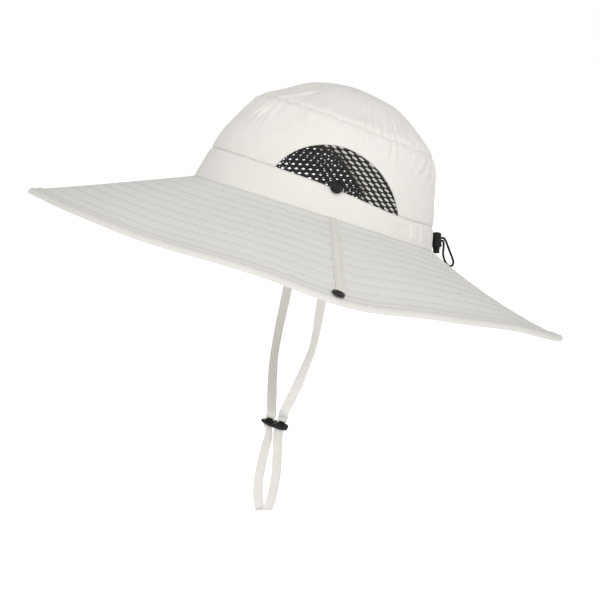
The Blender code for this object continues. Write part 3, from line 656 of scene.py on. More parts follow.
@dataclass(frozen=True)
class RibbedTape:
    """Woven tape or webbing: ribs across the strip with a twill of fine threads."""

    name: str
    colour: str
    shade: str
    rib_mm: float
    cross_mm: float
    roughness: float
    bump_mm: float

    def material(self) -> Material:
        """Builds the tape.

        Returns:
            The material, whose ribs follow the piece's own UV map in metres.
        """
        values = {"Roughness": self.roughness, "Sheen Weight": 0.25, "Specular IOR Level": 0.2}
        made, tree, shader = start_material(self.name, values)
        place = add_node(tree, "ShaderNodeUVMap", {"uv_map": "cloth"}).outputs["UV"]
        apart = add_node(tree, "ShaderNodeSeparateXYZ", inputs={0: place})
        waves = [
            wave_along(tree, apart.outputs[axis], pitch)
            for axis, pitch in (("X", self.rib_mm), ("Y", self.cross_mm))
        ]
        weave = add_node(tree, "ShaderNodeMath", {"operation": "MULTIPLY"}, {0: waves[0], 1: waves[1]})
        ribs = add_node(
            tree, "ShaderNodeMath", {"operation": "MULTIPLY_ADD"}, {0: waves[0], 1: 0.5, 2: weave.outputs[0]}
        )
        position = add_node(tree, "ShaderNodeTexCoord").outputs["Object"]
        cloud = add_node(
            tree, "ShaderNodeTexNoise", inputs={"Vector": position, "Scale": TAPE_CLOUD_SCALE, "Detail": 4.0}
        )
        # Painted light and shade: the colour is lighter on the rib crests and darker in the valleys between
        # them, over the webbing's own uneven tone
        tone = add_node(
            tree, "ShaderNodeMath", {"operation": "MULTIPLY_ADD", "use_clamp": True},
            {0: ribs.outputs[0], 1: -0.18, 2: cloud.outputs["Fac"]},
        )
        colour = add_node(
            tree, "ShaderNodeMix", {"data_type": "RGBA"},
            {"Factor": tone.outputs[0], 6: linear(self.colour), 7: linear(self.shade)},
        )
        tree.links.new(colour.outputs[2], shader.inputs["Base Color"])
        bump = add_node(
            tree, "ShaderNodeBump",
            inputs={"Height": ribs.outputs[0], "Strength": 0.6, "Distance": self.bump_mm / 1000.0},
        )
        tree.links.new(bump.outputs["Normal"], shader.inputs["Normal"])
        return made


@dataclass(frozen=True)
class MouldedPlastic:
    """Moulded plastic, with the fine grain of its spark eroded mould in the highlights."""

    name: str
    colour: str
    roughness: float
    grain_mm: float

    def material(self) -> Material:
        """Builds the plastic.

        Returns:
            The material, whose grain follows Object coordinates.
        """
        values = {"Base Color": linear(self.colour), "IOR": 1.48, "Specular IOR Level": 0.30}
        made, tree, shader = start_material(self.name, values)
        position = add_node(tree, "ShaderNodeTexCoord").outputs["Object"]
        grain = add_node(
            tree, "ShaderNodeTexNoise",
            inputs={"Vector": position, "Scale": 1000.0 / self.grain_mm, "Detail": 2.0},
        )
        spread = add_node(
            tree, "ShaderNodeMapRange",
            inputs={"Value": grain.outputs["Fac"], 3: self.roughness - 0.08, 4: self.roughness + 0.10},
        )
        tree.links.new(spread.outputs[0], shader.inputs["Roughness"])
        bump = add_node(
            tree, "ShaderNodeBump",
            inputs={"Height": grain.outputs["Fac"], "Strength": 0.25, "Distance": 0.00006},
        )
        tree.links.new(bump.outputs["Normal"], shader.inputs["Normal"])
        return made


@dataclass(frozen=True)
class PlainYarn:
    """Spun or knitted yarn with no woven pattern of its own, fuzzy enough to be matt."""

    name: str
    colour: str
    shade: str
    roughness: float
    fibre_mm: float

    def material(self) -> Material:
        """Builds the yarn.

        Returns:
            The material, whose fibres follow Object coordinates.
        """
        values = {"Roughness": self.roughness, "Sheen Weight": 0.15, "Specular IOR Level": 0.3}
        made, tree, shader = start_material(self.name, values)
        position = add_node(tree, "ShaderNodeTexCoord").outputs["Object"]
        fibres = add_node(
            tree, "ShaderNodeTexNoise",
            inputs={"Vector": position, "Scale": 1000.0 / self.fibre_mm, "Detail": 3.0},
        )
        colour = add_node(
            tree, "ShaderNodeMix", {"data_type": "RGBA"},
            {"Factor": fibres.outputs["Fac"], 6: linear(self.colour), 7: linear(self.shade)},
        )
        tree.links.new(colour.outputs[2], shader.inputs["Base Color"])
        bump = add_node(
            tree, "ShaderNodeBump",
            inputs={"Height": fibres.outputs["Fac"], "Strength": 0.5, "Distance": 0.00012},
        )
        tree.links.new(bump.outputs["Normal"], shader.inputs["Normal"])
        return made


Finish = WovenCloth | RibbedTape | MouldedPlastic | PlainYarn

# Polyester microfibre, plain woven and then brushed: soft, matt and nearly white
CROWN_CLOTH = WovenCloth(
    name="brushed_crown_cloth", colour="ece9e4", shade="e3dfd9", thread_mm=0.9, grid_mm=3.6,
    grid_depth=0.10, roughness=0.78, sheen=0.20, bump_mm=0.05, crease_mm=0.5,
)
# Polyester ripstop, woven with a thicker thread every 1.7 mm: matt and a little greyer, and its
# fine grid shows
BRIM_CLOTH = WovenCloth(
    name="quilted_brim_ripstop", colour="e9e7e2", shade="dbd9d4", thread_mm=0.8, grid_mm=1.7,
    grid_depth=0.42, roughness=0.82, sheen=0.15, bump_mm=0.09, crease_mm=0.35,
)
# Microfibre strip, woven plain and folded under an iron: flat and matt, with few creases
BINDING_TAPE = WovenCloth(
    name="folded_binding_cloth", colour="e4e0da", shade="d9d4cd", thread_mm=0.9, grid_mm=3.0,
    grid_depth=0.08, roughness=0.78, sheen=0.20, bump_mm=0.05, crease_mm=0.4,
)
# The same strip, drawn tight round the rim: matt. Its colours are painted a shade darker than the strip's
# all round the rim, as painted shade that tones down the outer roll where it faces the key light
SHADED_RIM_BINDING = WovenCloth(
    name="bias_cut_rim_cloth", colour="e0ddd8", shade="d6d2cc", thread_mm=0.9, grid_mm=3.0,
    grid_depth=0.08, roughness=0.78, sheen=0.20, bump_mm=0.05, crease_mm=0.4,
)
# Polyester webbing, woven on a narrow loom: its ribs across break the light into short dashes, helped by
# painted shade in the valleys between them
STRAP_WEBBING = RibbedTape(
    name="woven_strap_webbing", colour="edebe6", shade="dbd8d2", rib_mm=1.1, cross_mm=1.3, roughness=0.80,
    bump_mm=0.16,
)
# Polyester thread, spun from short fibres: fuzzy and matt, a shade deeper than the cloth
SEWING_THREAD = PlainYarn(
    name="spun_polyester_thread", colour="e2dfda", shade="cecbc5", roughness=0.75, fibre_mm=0.4,
)
# Polyester yarn, warp knitted and dyed black: a flat black with hardly a highlight
NET_YARN = PlainYarn(
    name="knitted_net_yarn", colour="101012", shade="1d1d20", roughness=0.62, fibre_mm=0.5,
)
# Polyester sleeve, braided over rubber threads: matt black, and the strands are in the mesh
ELASTIC_SLEEVE = PlainYarn(
    name="braided_elastic_sleeve", colour="0c0c0d", shade="19191b", roughness=0.66, fibre_mm=0.35,
)
# Acetal, injection moulded: black with soft satin highlights along its rounded edges
BLACK_ACETAL = MouldedPlastic(name="moulded_black_acetal", colour="101011", roughness=0.32, grain_mm=0.5)
# Nylon, injection moulded in a smoother mould: sharper highlights on the cap's rings. Its black is painted a
# shade lighter than the lock's, as painted sheen for the white surroundings reflected in the cap's face
STUD_PLASTIC_PAINTED_SHEEN = MouldedPlastic(name="moulded_stud_nylon", colour="1b1b1d", roughness=0.24, grain_mm=0.4)


class Wardrobe:
    """Makes each finish once and dresses the pieces."""

    def __init__(self) -> None:
        """Starts with no finish made."""
        self.made: dict[str, Material] = {}

    def material(self, finish: Finish) -> Material:
        """Looks up a finish's material.

        Args:
            finish: The finish.

        Returns:
            Its material, made when it is first asked for.
        """
        if finish.name not in self.made:
            self.made[finish.name] = finish.material()
        return self.made[finish.name]

    def dress(
        self, piece: Piece, finish: Finish, slot: Slot, *nodes: str, body: str = BODY
    ) -> Piece:
        """Gives a piece its finish, its body and the nodes that it stands for.

        Args:
            piece: The piece.
            finish: Its finish.
            slot: The record's material slot; not used.
            nodes: The plain nodes that it replaces.
            body: The body that it rides on.

        Returns:
            The piece.
        """
        piece.data.materials.clear()
        piece.data.materials.append(self.material(finish))
        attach(piece, body)
        if nodes:
            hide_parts(*nodes)
        LOG.info("%s: %s on %s", piece.name, finish.name, body)
        return piece


class Repeats:
    """Sets copies of a small shape on points, by one Geometry Nodes tree."""

    def __init__(self) -> None:
        """Builds the tree, with named inputs for the shape, its sizes, its weld and its finish."""
        self.tree = bpy.data.node_groups.new("copies_on_places", "GeometryNodeTree")
        face = self.tree.interface
        wanted = (
            ("Places", "NodeSocketGeometry"), ("Shape", "NodeSocketObject"), ("Length", "NodeSocketFloat"),
            ("Width", "NodeSocketFloat"), ("Height", "NodeSocketFloat"), ("Weld", "NodeSocketFloat"),
            ("Finish", "NodeSocketMaterial"),
        )
        self.keys = {
            name: face.new_socket(name=name, in_out="INPUT", socket_type=kind).identifier
            for name, kind in wanted
        }
        face.new_socket(name="Copies", in_out="OUTPUT", socket_type="NodeSocketGeometry")
        tree = self.tree
        given = add_node(tree, "NodeGroupInput").outputs
        shape = add_node(tree, "GeometryNodeObjectInfo", inputs={"Object": given["Shape"]})
        run = add_node(
            tree, "GeometryNodeInputNamedAttribute", {"data_type": "FLOAT_VECTOR"}, {"Name": "run"}
        )
        out = add_node(
            tree, "GeometryNodeInputNamedAttribute", {"data_type": "FLOAT_VECTOR"}, {"Name": "out"}
        )
        lengthwise = add_node(
            tree, "FunctionNodeAlignRotationToVector", {"axis": "X"}, {"Vector": run.outputs["Attribute"]}
        )
        upright = add_node(
            tree, "FunctionNodeAlignRotationToVector", {"axis": "Z", "pivot_axis": "X"},
            {"Rotation": lengthwise.outputs[0], "Vector": out.outputs["Attribute"]},
        )
        size = add_node(
            tree, "ShaderNodeCombineXYZ", inputs={0: given["Length"], 1: given["Width"], 2: given["Height"]}
        )
        copies = add_node(
            tree,
            "GeometryNodeInstanceOnPoints",
            inputs={
                "Points": given["Places"],
                "Instance": shape.outputs["Geometry"],
                "Rotation": upright.outputs[0],
                "Scale": size.outputs[0],
            },
        )
        real = add_node(tree, "GeometryNodeRealizeInstances", inputs={0: copies.outputs[0]})
        welded = add_node(
            tree, "GeometryNodeMergeByDistance",
            inputs={"Geometry": real.outputs[0], "Distance": given["Weld"]},
        )
        painted = add_node(
            tree, "GeometryNodeSetMaterial",
            inputs={"Geometry": welded.outputs[0], "Material": given["Finish"]},
        )
        add_node(tree, "NodeGroupOutput", inputs={0: painted.outputs[0]})

    def build(
        self,
        name: str,
        shape: Piece,
        places: Array,
        run: Array,
        out: Array,
        size: Corner,
        finish: Material,
        weld: float = 0.0,
    ) -> Piece:
        """Sets the copies and makes them one plain mesh.

        Args:
            name: The new piece's name.
            shape: What is copied; it is removed afterwards.
            places: Where each copy goes.
            run: Which way each copy's X points.
            out: Which way each copy's Z points.
            size: The copies' scale along their own axes.
            finish: Their material.
            weld: How near corners of neighbours are welded.

        Returns:
            The piece.
        """
        piece = make_mesh(name, places, [])
        for label, vectors in (("run", run), ("out", out)):
            held = piece.data.attributes.new(label, "FLOAT_VECTOR", "POINT")
            held.data.foreach_set("vector", np.asarray(vectors, dtype=float).ravel())
        step = piece.modifiers.new("Copies", "NODES")
        step.node_group = self.tree
        for label, value in zip(("Length", "Width", "Height"), size):
            step[self.keys[label]] = float(value)
        step[self.keys["Shape"]] = shape
        step[self.keys["Weld"]] = float(weld)
        step[self.keys["Finish"]] = finish
        baked(piece)
        bpy.data.objects.remove(shape)
        piece.data.shade_smooth()
        return piece


# Rings of a stitch of unit size: place along it, thickness and lift
STITCH_RINGS = ((-0.5, 0.45, -0.35), (-0.30, 1.0, 0.25), (0.30, 1.0, 0.25), (0.5, 0.45, -0.35))


def stitch_shape() -> Piece:
    """Makes a stitch of unit size.

    Returns:
        One stitch, which bows up and dips into the cloth at both ends.
    """
    sides, corners = 5, []
    for along, thick, lift in STITCH_RINGS:
        for side in range(sides):
            turn = 2.0 * math.pi * side / sides
            corners.append((along, 0.5 * thick * math.cos(turn), 0.5 * thick * math.sin(turn) + lift))
    return make_mesh("stitch", np.array(corners), tube_faces(len(STITCH_RINGS), sides))


@dataclass
class Seamstress:
    """Sews rows of stitches that lie on the cloth."""

    wardrobe: Wardrobe
    repeats: Repeats
    stitch: float = 0.0026
    pitch: float = 0.0033
    thread: float = 0.00050
    nudge: float = 0.0005

    def row(self, path: Array, out: Array) -> tuple[Array, Array, Array]:
        """Places of one row's stitches.

        Args:
            path: Points along the row.
            out: Outward directions at the same points.

        Returns:
            Each stitch's place, direction and outward direction.
        """
        run = run_along(path)
        count = max(2, int(run[-1] / self.pitch))
        at = (np.arange(count) + 0.5) * run[-1] / count
        spots = read_path(at, run, path)
        ahead = read_path(at + self.nudge, run, path)
        behind = read_path(at - self.nudge, run, path)
        return spots, unit(ahead - behind), unit(read_path(at, run, out))

    def sew(self, name: str, rows: Rows, slot: Slot) -> Piece:
        """Sews rows of stitches.

        Args:
            name: The thread's name.
            rows: Each row's path and outward directions.
            slot: The record's material slot of the cloth.

        Returns:
            The rows' stitches, as one dressed piece.
        """
        parts = [self.row(path, out) for path, out in rows]
        spots, run, out = (np.concatenate([part[k] for part in parts]) for k in range(3))
        piece = self.repeats.build(
            name, stitch_shape(), spots, run, out, (self.stitch, self.thread, self.thread),
            self.wardrobe.material(SEWING_THREAD),
        )
        LOG.info("%s: %d stitches", name, len(spots))
        return self.wardrobe.dress(piece, SEWING_THREAD, slot)


# The crown


@dataclass(frozen=True)
class CrownRow:
    """A level section: rise as a share of the height, the rest as shares of the half sizes."""

    name: str
    rise: float
    front: float
    back: float
    side: float


CROWN_ROWS = (
    CrownRow("brim_seam", 0.000, 1.000, 0.995, 1.000),
    CrownRow("flare", 0.065, 0.977, 0.975, 0.978),
    CrownRow("band_top", 0.235, 0.930, 0.928, 0.938),
    CrownRow("lower_side", 0.400, 0.888, 0.878, 0.895),
    CrownRow("upper_side", 0.560, 0.813, 0.820, 0.835),
    CrownRow("shoulder", 0.665, 0.748, 0.768, 0.775),
    CrownRow("tip_seam", 0.735, 0.690, 0.714, 0.712),
    CrownRow("dome_low", 0.815, 0.556, 0.607, 0.600),
    CrownRow("dome_middle", 0.890, 0.426, 0.489, 0.475),
    CrownRow("dome_high", 0.955, 0.276, 0.340, 0.315),
    CrownRow("apex", 1.000, 0.000, 0.000, 0.000),
)


# For the weave: the tip seam's row, the metres that each row beyond it adds, and a mean radius
TIP_SEAM_LEVEL = 6.0
DOME_STEP = 0.0135
MEAN_RADIUS = 0.092


@dataclass(frozen=True)
class Fold:
    """A crease in the crown's cloth, in degrees round the hat and millimetres.

    angle and rise give its middle, lean turns it from upright towards the back, and depth is how
    far it stands out, or sinks in where it is negative.
    """

    angle: float
    rise: float
    lean: float
    length: float
    width: float
    depth: float


FOLDS = tuple(
    Fold(*row)
    for row in (
        # Over the window: creases that cross the tip seam
        (2, 87, 10, 13, 1.6, -0.93), (3, 80, -4, 10, 1.3, 1.09), (6, 88, 13, 20, 1.6, -1.32),
        (8, 81, -18, 9, 1.8, 0.84), (12, 77, 0, 9, 1.4, -0.75), (14, 79, 5, 10, 1.8, 0.84),
        (18, 82, 16, 15, 1.6, -1.03), (27, 81, 25, 22, 1.4, -1.88), (25, 76, 10, 10, 1.4, 1.19),
        (28, 76, 13, 8, 1.3, -0.84), (34, 80, 20, 12, 1.8, 0.84), (43, 82, 41, 15, 2.0, 1.09),
        (47, 83, 24, 14, 2.0, -1.22), (53, 79, -30, 8, 1.6, -1.12), (4, 65, 22, 11, 2.0, 0.84),
        (20, 63, 22, 13, 2.0, 0.93), (23, 64, 8, 9, 1.6, -1.03), (26, 63, 7, 10, 1.8, 0.93),
        # Behind the window: the cloth drawn up to the back of the tip seam
        (38, 63, 30, 14, 2.2, -0.84), (45, 62, 54, 18, 2.2, -1.32), (50, 64, 56, 23, 2.2, 1.43),
        (57, 64, 56, 28, 1.8, -2.07), (62, 63, 60, 30, 1.8, 1.35), (71, 64, 30, 24, 2.2, -1.50),
        (79, 63, 10, 26, 2.6, 1.51), (88, 66, -6, 20, 2.0, -1.32), (101, 64, -30, 26, 2.2, 1.43),
        (110, 64, -50, 24, 2.0, -1.68), (119, 65, -52, 22, 2.2, 1.35), (129, 64, -44, 18, 2.2, -1.22),
        (141, 64, -20, 14, 2.0, 0.93), (156, 64, -14, 12, 1.8, -0.93), (172, 66, -8, 11, 2.0, 0.84),
        # Front quarters: slanted folds under the tip seam and flat ones over it
        (-71, 69, 30, 14, 1.8, -1.12), (-66, 68, 36, 13, 1.8, 1.01), (-64, 67, 40, 14, 1.8, -1.41),
        (-61, 67, 18, 17, 2.0, 1.61), (-57, 68, -8, 18, 1.8, -2.07), (-54, 71, -14, 14, 2.2, 1.01),
        (-49, 74, 4, 8, 1.6, -0.84), (-53, 89, 49, 20, 2.2, 1.35), (-51, 86, 57, 20, 2.0, -1.32),
        (-36, 70, -50, 28, 2.0, 1.09), (-33, 70, -44, 16, 1.8, -1.03), (-22, 73, -20, 10, 1.8, 0.76),
        (-12, 73, 10, 9, 1.8, -0.75), (-88, 72, 4, 12, 2.0, 0.76), (-108, 70, -24, 16, 2.0, -1.22),
        (-117, 68, -30, 18, 2.0, 1.43), (-124, 68, 6, 16, 1.8, -1.50), (-131, 71, 18, 14, 2.0, 0.93),
        (-126, 88, -50, 20, 2.2, 1.19), (-146, 70, 44, 22, 2.0, 0.93), (-163, 73, 14, 10, 1.8, -0.84),
        # The tip's far side
        (152, 83, -16, 16, 1.8, 1.01), (160, 84, -20, 18, 1.6, -1.32), (134, 83, -34, 15, 2.0, 1.09),
        (124, 81, -10, 12, 1.8, -1.03), (96, 80, 6, 14, 1.8, 0.93), (84, 81, -4, 12, 1.8, -0.93),
        # The band, drawn in at the back by its cord
        (31, 5, -80, 30, 2.4, 0.94), (36, 10, -75, 15, 2.2, -1.35), (43, 8, -10, 15, 1.7, 2.03),
        (50, 8, -16, 17, 2.6, -1.65), (61, 5, -64, 15, 1.4, -1.05), (65, 12, -20, 14, 1.8, 0.81),
        (73, 5, -60, 16, 1.4, 0.81), (81, 10, 12, 14, 1.8, 0.88), (99, 10, -12, 14, 1.8, 0.88),
        (106, 8, -30, 12, 1.8, -1.05), (115, 10, 30, 16, 2.0, 0.94), (129, 9, 14, 18, 2.6, -1.50),
        (136, 8, 14, 15, 1.8, 1.76), (145, 12, 70, 18, 2.4, -1.05),
    )
)


@dataclass
class CrownForm:
    """The crown's outer surface, by angle from the wearer's left towards the back and by level."""

    half_length: float = 0.1035
    half_width: float = 0.0850
    height: float = 0.1085
    cloth: float = 0.0013
    band_height: float = 0.0240
    band_fall: float = 0.0025
    band_dip: float = 0.0045
    band_dip_middle: float = 0.54
    band_dip_spread: float = 0.50
    tip_rise: float = 0.0765
    tip_fall: float = 0.0035
    window_half_chord: float = 0.0570
    window_height: float = 0.0334
    window_ahead: float = 0.0027
    seam_wander: float = 0.0008
    gather_depth: float = 0.00028
    gather_reach: float = 0.0065
    band_roll: float = 0.00085
    band_roll_width: float = 0.0013
    tip_roll: float = 0.00040
    tip_roll_width: float = 0.0014
    puff: float = 0.0004
    puff_away: float = 0.004
    puff_width: float = 0.003
    slack: float = 0.0007
    ripple: float = 0.00022
    hem_fade: float = 0.006
    apex_fade: float = 0.004
    apex_margin: float = 0.02
    levels: Array = field(init=False)
    rises: Array = field(init=False)

    def __post_init__(self) -> None:
        """Tabulates height by level, to read it backwards."""
        self.levels = np.linspace(0.0, len(CROWN_ROWS) - 1.0, 4001)
        column = [row.rise for row in CROWN_ROWS]
        self.rises = self.height * spline(column, self.levels, column[-2])

    def share(self, column: str, level: Array) -> Array:
        """A column of the crown's rows at a fractional row."""
        values = [getattr(row, column) for row in CROWN_ROWS]
        return spline(values, level, -values[-2])

    def rise(self, level: Array) -> Array:
        """Height over the brim seam at a level."""
        return np.interp(level, self.levels, self.rises)

    def level_at(self, rise: Array) -> Array:
        """The level at which the crown has that height."""
        return np.interp(rise, self.rises, self.levels)

    def plain(self, angle: Array, level: Array) -> Array:
        """The surface before any fold.

        Args:
            angle: Directions round the crown.
            level: Levels on it.

        Returns:
            The points, in the hat's own axes.
        """
        ends = np.where(np.sin(angle) < 0.0, self.share("front", level), self.share("back", level))
        across = self.half_width * self.share("side", level) * np.cos(angle)
        along = self.half_length * ends * np.sin(angle)
        return np.stack([across, along, self.rise(level) + 0.0 * across], axis=-1)

    def normal(self, angle: Array, level: Array) -> Array:
        """Outward directions on the plain surface.

        Args:
            angle: Directions round the crown.
            level: Levels on it.

        Returns:
            A direction of length 1 for each point.
        """
        top = self.levels[-1]
        level = np.minimum(level, top - self.apex_margin)
        nudge = 0.002
        round_it = self.plain(angle + nudge, level) - self.plain(angle - nudge, level)
        up = self.plain(angle, level + nudge) - self.plain(angle, level - nudge)
        return unit(np.cross(round_it, up))

    def band_seam(self, angle: Array) -> Array:
        """Height of the seam between band and side panel, lowest behind each side."""
        from_dip = (np.sin(angle) - self.band_dip_middle) / self.band_dip_spread
        return self.band_height - self.band_fall * np.sin(angle) - self.band_dip * np.exp(-(from_dip**2))

    def tip_seam(self, angle: Array) -> Array:
        """Height of the seam between side panel and tip, which wanders with the gathers."""
        wander = rumple(41, angle, 0.0 * angle, ((7, 1.0), (12, 1.0), (19, 1.0), (31, 1.0)))
        return self.tip_rise - self.tip_fall * np.sin(angle) + self.seam_wander * wander

    def girth(self, height: Array) -> Array:
        """How far one radian goes round the crown, at a height over the band seam."""
        level = self.level_at(self.band_height + np.maximum(0.0, height))
        return self.half_length * self.share("back", level)

    def window_top(self, along: Array) -> Array:
        """Height of the window's arc over the band seam.

        Args:
            along: Distance from the window's middle.

        Returns:
            Its height, or 0 beyond the window's ends.
        """
        radius = (self.window_half_chord**2 + self.window_height**2) / (2.0 * self.window_height)
        rise = np.sqrt(np.maximum(0.0, radius**2 - along**2)) - (radius - self.window_height)
        return np.where(np.abs(along) < self.window_half_chord, np.maximum(rise, 0.0), 0.0)

    def window_foot(self, angle: Array) -> Array:
        """Height over the band seam at which the side panel starts.

        Args:
            angle: Directions round the crown.

        Returns:
            The heights, above 0 only at a window.
        """
        turn = np.arcsin(np.clip(np.sin(angle), -1.0, 1.0))
        foot = np.zeros_like(turn)
        for _ in range(30):
            foot = 0.5 * foot + 0.5 * self.window_top(turn * self.girth(foot) + self.window_ahead)
        return foot

    def folded(self, angle: Array, rise: Array) -> Array:
        """How far the folds stand out from the plain surface.

        Args:
            angle: Directions round the crown.
            rise: Heights over the brim seam.

        Returns:
            The distances, below 0 where a fold sinks in.
        """
        degrees = np.degrees(angle)
        total = np.zeros(np.broadcast(angle, rise).shape)
        for fold in FOLDS:
            turn = (degrees - fold.angle + 180.0) % 360.0 - 180.0
            # The crown narrows from 60 mm up, so a degree is a shorter way there
            near = self.half_length * 1000.0 * max(0.35, 1.0 - max(0.0, fold.rise - 60.0) / 70.0)
            across = np.radians(turn) * near
            up = rise * 1000.0 - fold.rise
            lean = math.radians(fold.lean)
            aside = across * math.cos(lean) - up * math.sin(lean)
            along = across * math.sin(lean) + up * math.cos(lean)
            aside = aside + 0.05 * along**2 / fold.length
            away = np.abs(aside) / fold.width
            # A fold that stands out is round, and one that sinks in is a sharp crease
            peak = np.exp(-(away**2)) if fold.depth > 0.0 else np.exp(-1.3 * np.sqrt(away**2 + 0.02))
            body = peak - 0.5 * np.exp(-(((aside - 1.5 * fold.width) / fold.width) ** 2))
            total += fold.depth * 0.001 * body * np.exp(-((along / (0.5 * fold.length)) ** 2))
        return total

    def gathers(self, angle: Array, rise: Array) -> Array:
        """Fine puckers at the tip seam.

        Args:
            angle: Directions round the crown.
            rise: Heights over the brim seam.

        Returns:
            How far the cloth stands out: most at the back and the front.
        """
        away = np.abs(rise - self.tip_seam(angle))
        strength = 0.25 + 0.75 * np.abs(np.sin(angle)) ** 1.5
        fine = rumple(11, angle, rise, ((64, 0.9), (81, 0.8), (97, 0.7), (53, 0.6)))
        return self.gather_depth * strength * fine * np.exp(-away / self.gather_reach)

    def seam_dip(self, angle: Array, rise: Array) -> Array:
        """Rolls the cloth in at its two seams, with a puff beside the upper one.

        Args:
            angle: Directions round the crown.
            rise: Heights over the brim seam.

        Returns:
            How far the cloth stands out, below 0 at the seams.
        """
        at_band = np.abs(rise - self.band_seam(angle))
        at_tip = np.abs(rise - self.tip_seam(angle))
        dip = -self.band_roll * np.exp(-((at_band / self.band_roll_width) ** 2))
        dip = dip - self.tip_roll * np.exp(-((at_tip / self.tip_roll_width) ** 2))
        return dip + self.puff * np.exp(-(((at_tip - self.puff_away) / self.puff_width) ** 2))

    def surface(self, angle: Array, level: Array, depth: Array | float = 0.0) -> Array:
        """The cloth with its folds.

        Args:
            angle: Directions round the crown.
            level: Levels on it.
            depth: How far below its outer face.

        Returns:
            The points, in the hat's own axes.
        """
        rise = self.rise(level)
        soft = self.slack * rumple(5, angle, rise, ((2, 0.16), (3, 0.11), (5, 0.09), (7, 0.07)))
        waves = ((13, 0.05), (19, 0.035), (23, 0.03), (31, 0.024))
        ripple = self.ripple * rumple(9, angle, rise, waves)
        stand = soft + ripple + self.folded(angle, rise) + self.gathers(angle, rise)
        fade = smooth_step(rise / self.hem_fade) * smooth_step((self.height - rise) / self.apex_fade)
        stand = stand * fade + self.seam_dip(angle, rise) - depth
        return self.plain(angle, level) + self.normal(angle, level) * stand[..., None]

    def cloth_uv(self, angle: Array, level: Array) -> Array:
        """Places the weave on the cloth.

        Args:
            angle: Directions round the crown.
            level: Levels on it.

        Returns:
            Metres round the crown and up it.
        """
        rise = self.rise(level)
        over_top = np.maximum(0.0, level - TIP_SEAM_LEVEL) * DOME_STEP
        return np.stack([angle * MEAN_RADIUS + 0.0 * rise, rise + over_top], axis=-1)


@dataclass
class Crown:
    """The crown: band, side panel with its windows, and tip."""

    form: CrownForm
    wardrobe: Wardrobe
    columns: int = 760
    gap: float = 0.00016
    wall: float = 0.0008
    turned_in: float = 0.0017
    apex_lift: float = 0.00002
    band_rows: int = 22
    side_rows: int = 48
    tip_rows: int = 44

    def ring(
        self, name: str, low: Array, high: Array, rows: int, closed_top: bool = False
    ) -> Piece:
        """Makes one panel of the crown as a ring of cloth with a wall.

        Args:
            name: The panel's name.
            low: Level of its lower edge at each column.
            high: Level of its upper edge at each column.
            rows: Steps from edge to edge.
            closed_top: Whether its upper edge closes in one point.

        Returns:
            The panel.
        """
        turns = np.linspace(0.0, 2.0 * math.pi, self.columns, endpoint=False)
        share = np.concatenate([[0.0], np.linspace(0.0, 1.0, rows + 1), [1.0]])[:, None]
        depths = np.zeros_like(share)
        depths[0] = depths[-1] = self.turned_in
        levels = low[None, :] * (1.0 - share) + high[None, :] * share
        angles = np.broadcast_to(turns[None, :], levels.shape)
        depths = np.broadcast_to(depths, levels.shape)
        if closed_top:
            angles, levels, depths = angles[:-2], levels[:-2], depths[:-2]
        corners = tipped(self.form.surface(angles, levels, depths)).reshape(-1, 3)
        uv = self.form.cloth_uv(angles, levels).reshape(-1, 2)
        faces = grid_faces(len(levels), self.columns, wrap=True)
        if closed_top:
            top = self.form.levels[-1] - self.form.apex_margin
            apex = tipped(self.form.surface(np.array([0.0]), np.array([top])))
            apex[0, :2] = corners[-self.columns :, :2].mean(axis=0)
            apex[0, 2] = corners[-self.columns :, 2].mean() + self.apex_lift
            last = len(corners) - self.columns
            for side in range(self.columns):
                faces.append((last + side, last + (side + 1) % self.columns, len(corners)))
            corners = np.concatenate([corners, apex])
            uv = np.concatenate([uv, uv[-1:]])
        panel = make_mesh(name, corners, faces, uv)
        wall = panel.modifiers.new("Cloth", "SOLIDIFY")
        wall.thickness = self.wall
        wall.offset = -1.0
        return baked(panel)

    def build(self) -> None:
        """Builds and dresses the three panels."""
        form = self.form
        turns = np.linspace(0.0, 2.0 * math.pi, self.columns, endpoint=False)
        seam, top = form.band_seam(turns), form.tip_seam(turns)
        hem = np.zeros_like(turns)
        band = self.ring("band_cloth", hem, form.level_at(seam - self.gap / 2.0), self.band_rows)
        foot = form.level_at(seam + self.gap / 2.0 + form.window_foot(turns))
        side = self.ring("side_cloth", foot, form.level_at(top - self.gap / 4.0), self.side_rows)
        apex = np.full_like(turns, form.levels[-1])
        edge = form.level_at(top + self.gap / 4.0)
        tip = self.ring("tip_cloth", edge, apex, self.tip_rows, closed_top=True)
        for panel, node in ((band, "crown_band"), (side, "crown_side"), (tip, "crown_tip")):
            self.wardrobe.dress(panel, CROWN_CLOTH, Slot.SHELL, node)


# The yarn from the tile's edge to the hole's rim: share of the way and lift
YARN_SECTION = ((0.0, 0.00022), (0.55, 0.00016), (1.0, -0.00006))
# More rows and columns of holes than any window shows
NET_ROWS = range(-14, 20)
NET_COLUMNS = range(-16, 17)


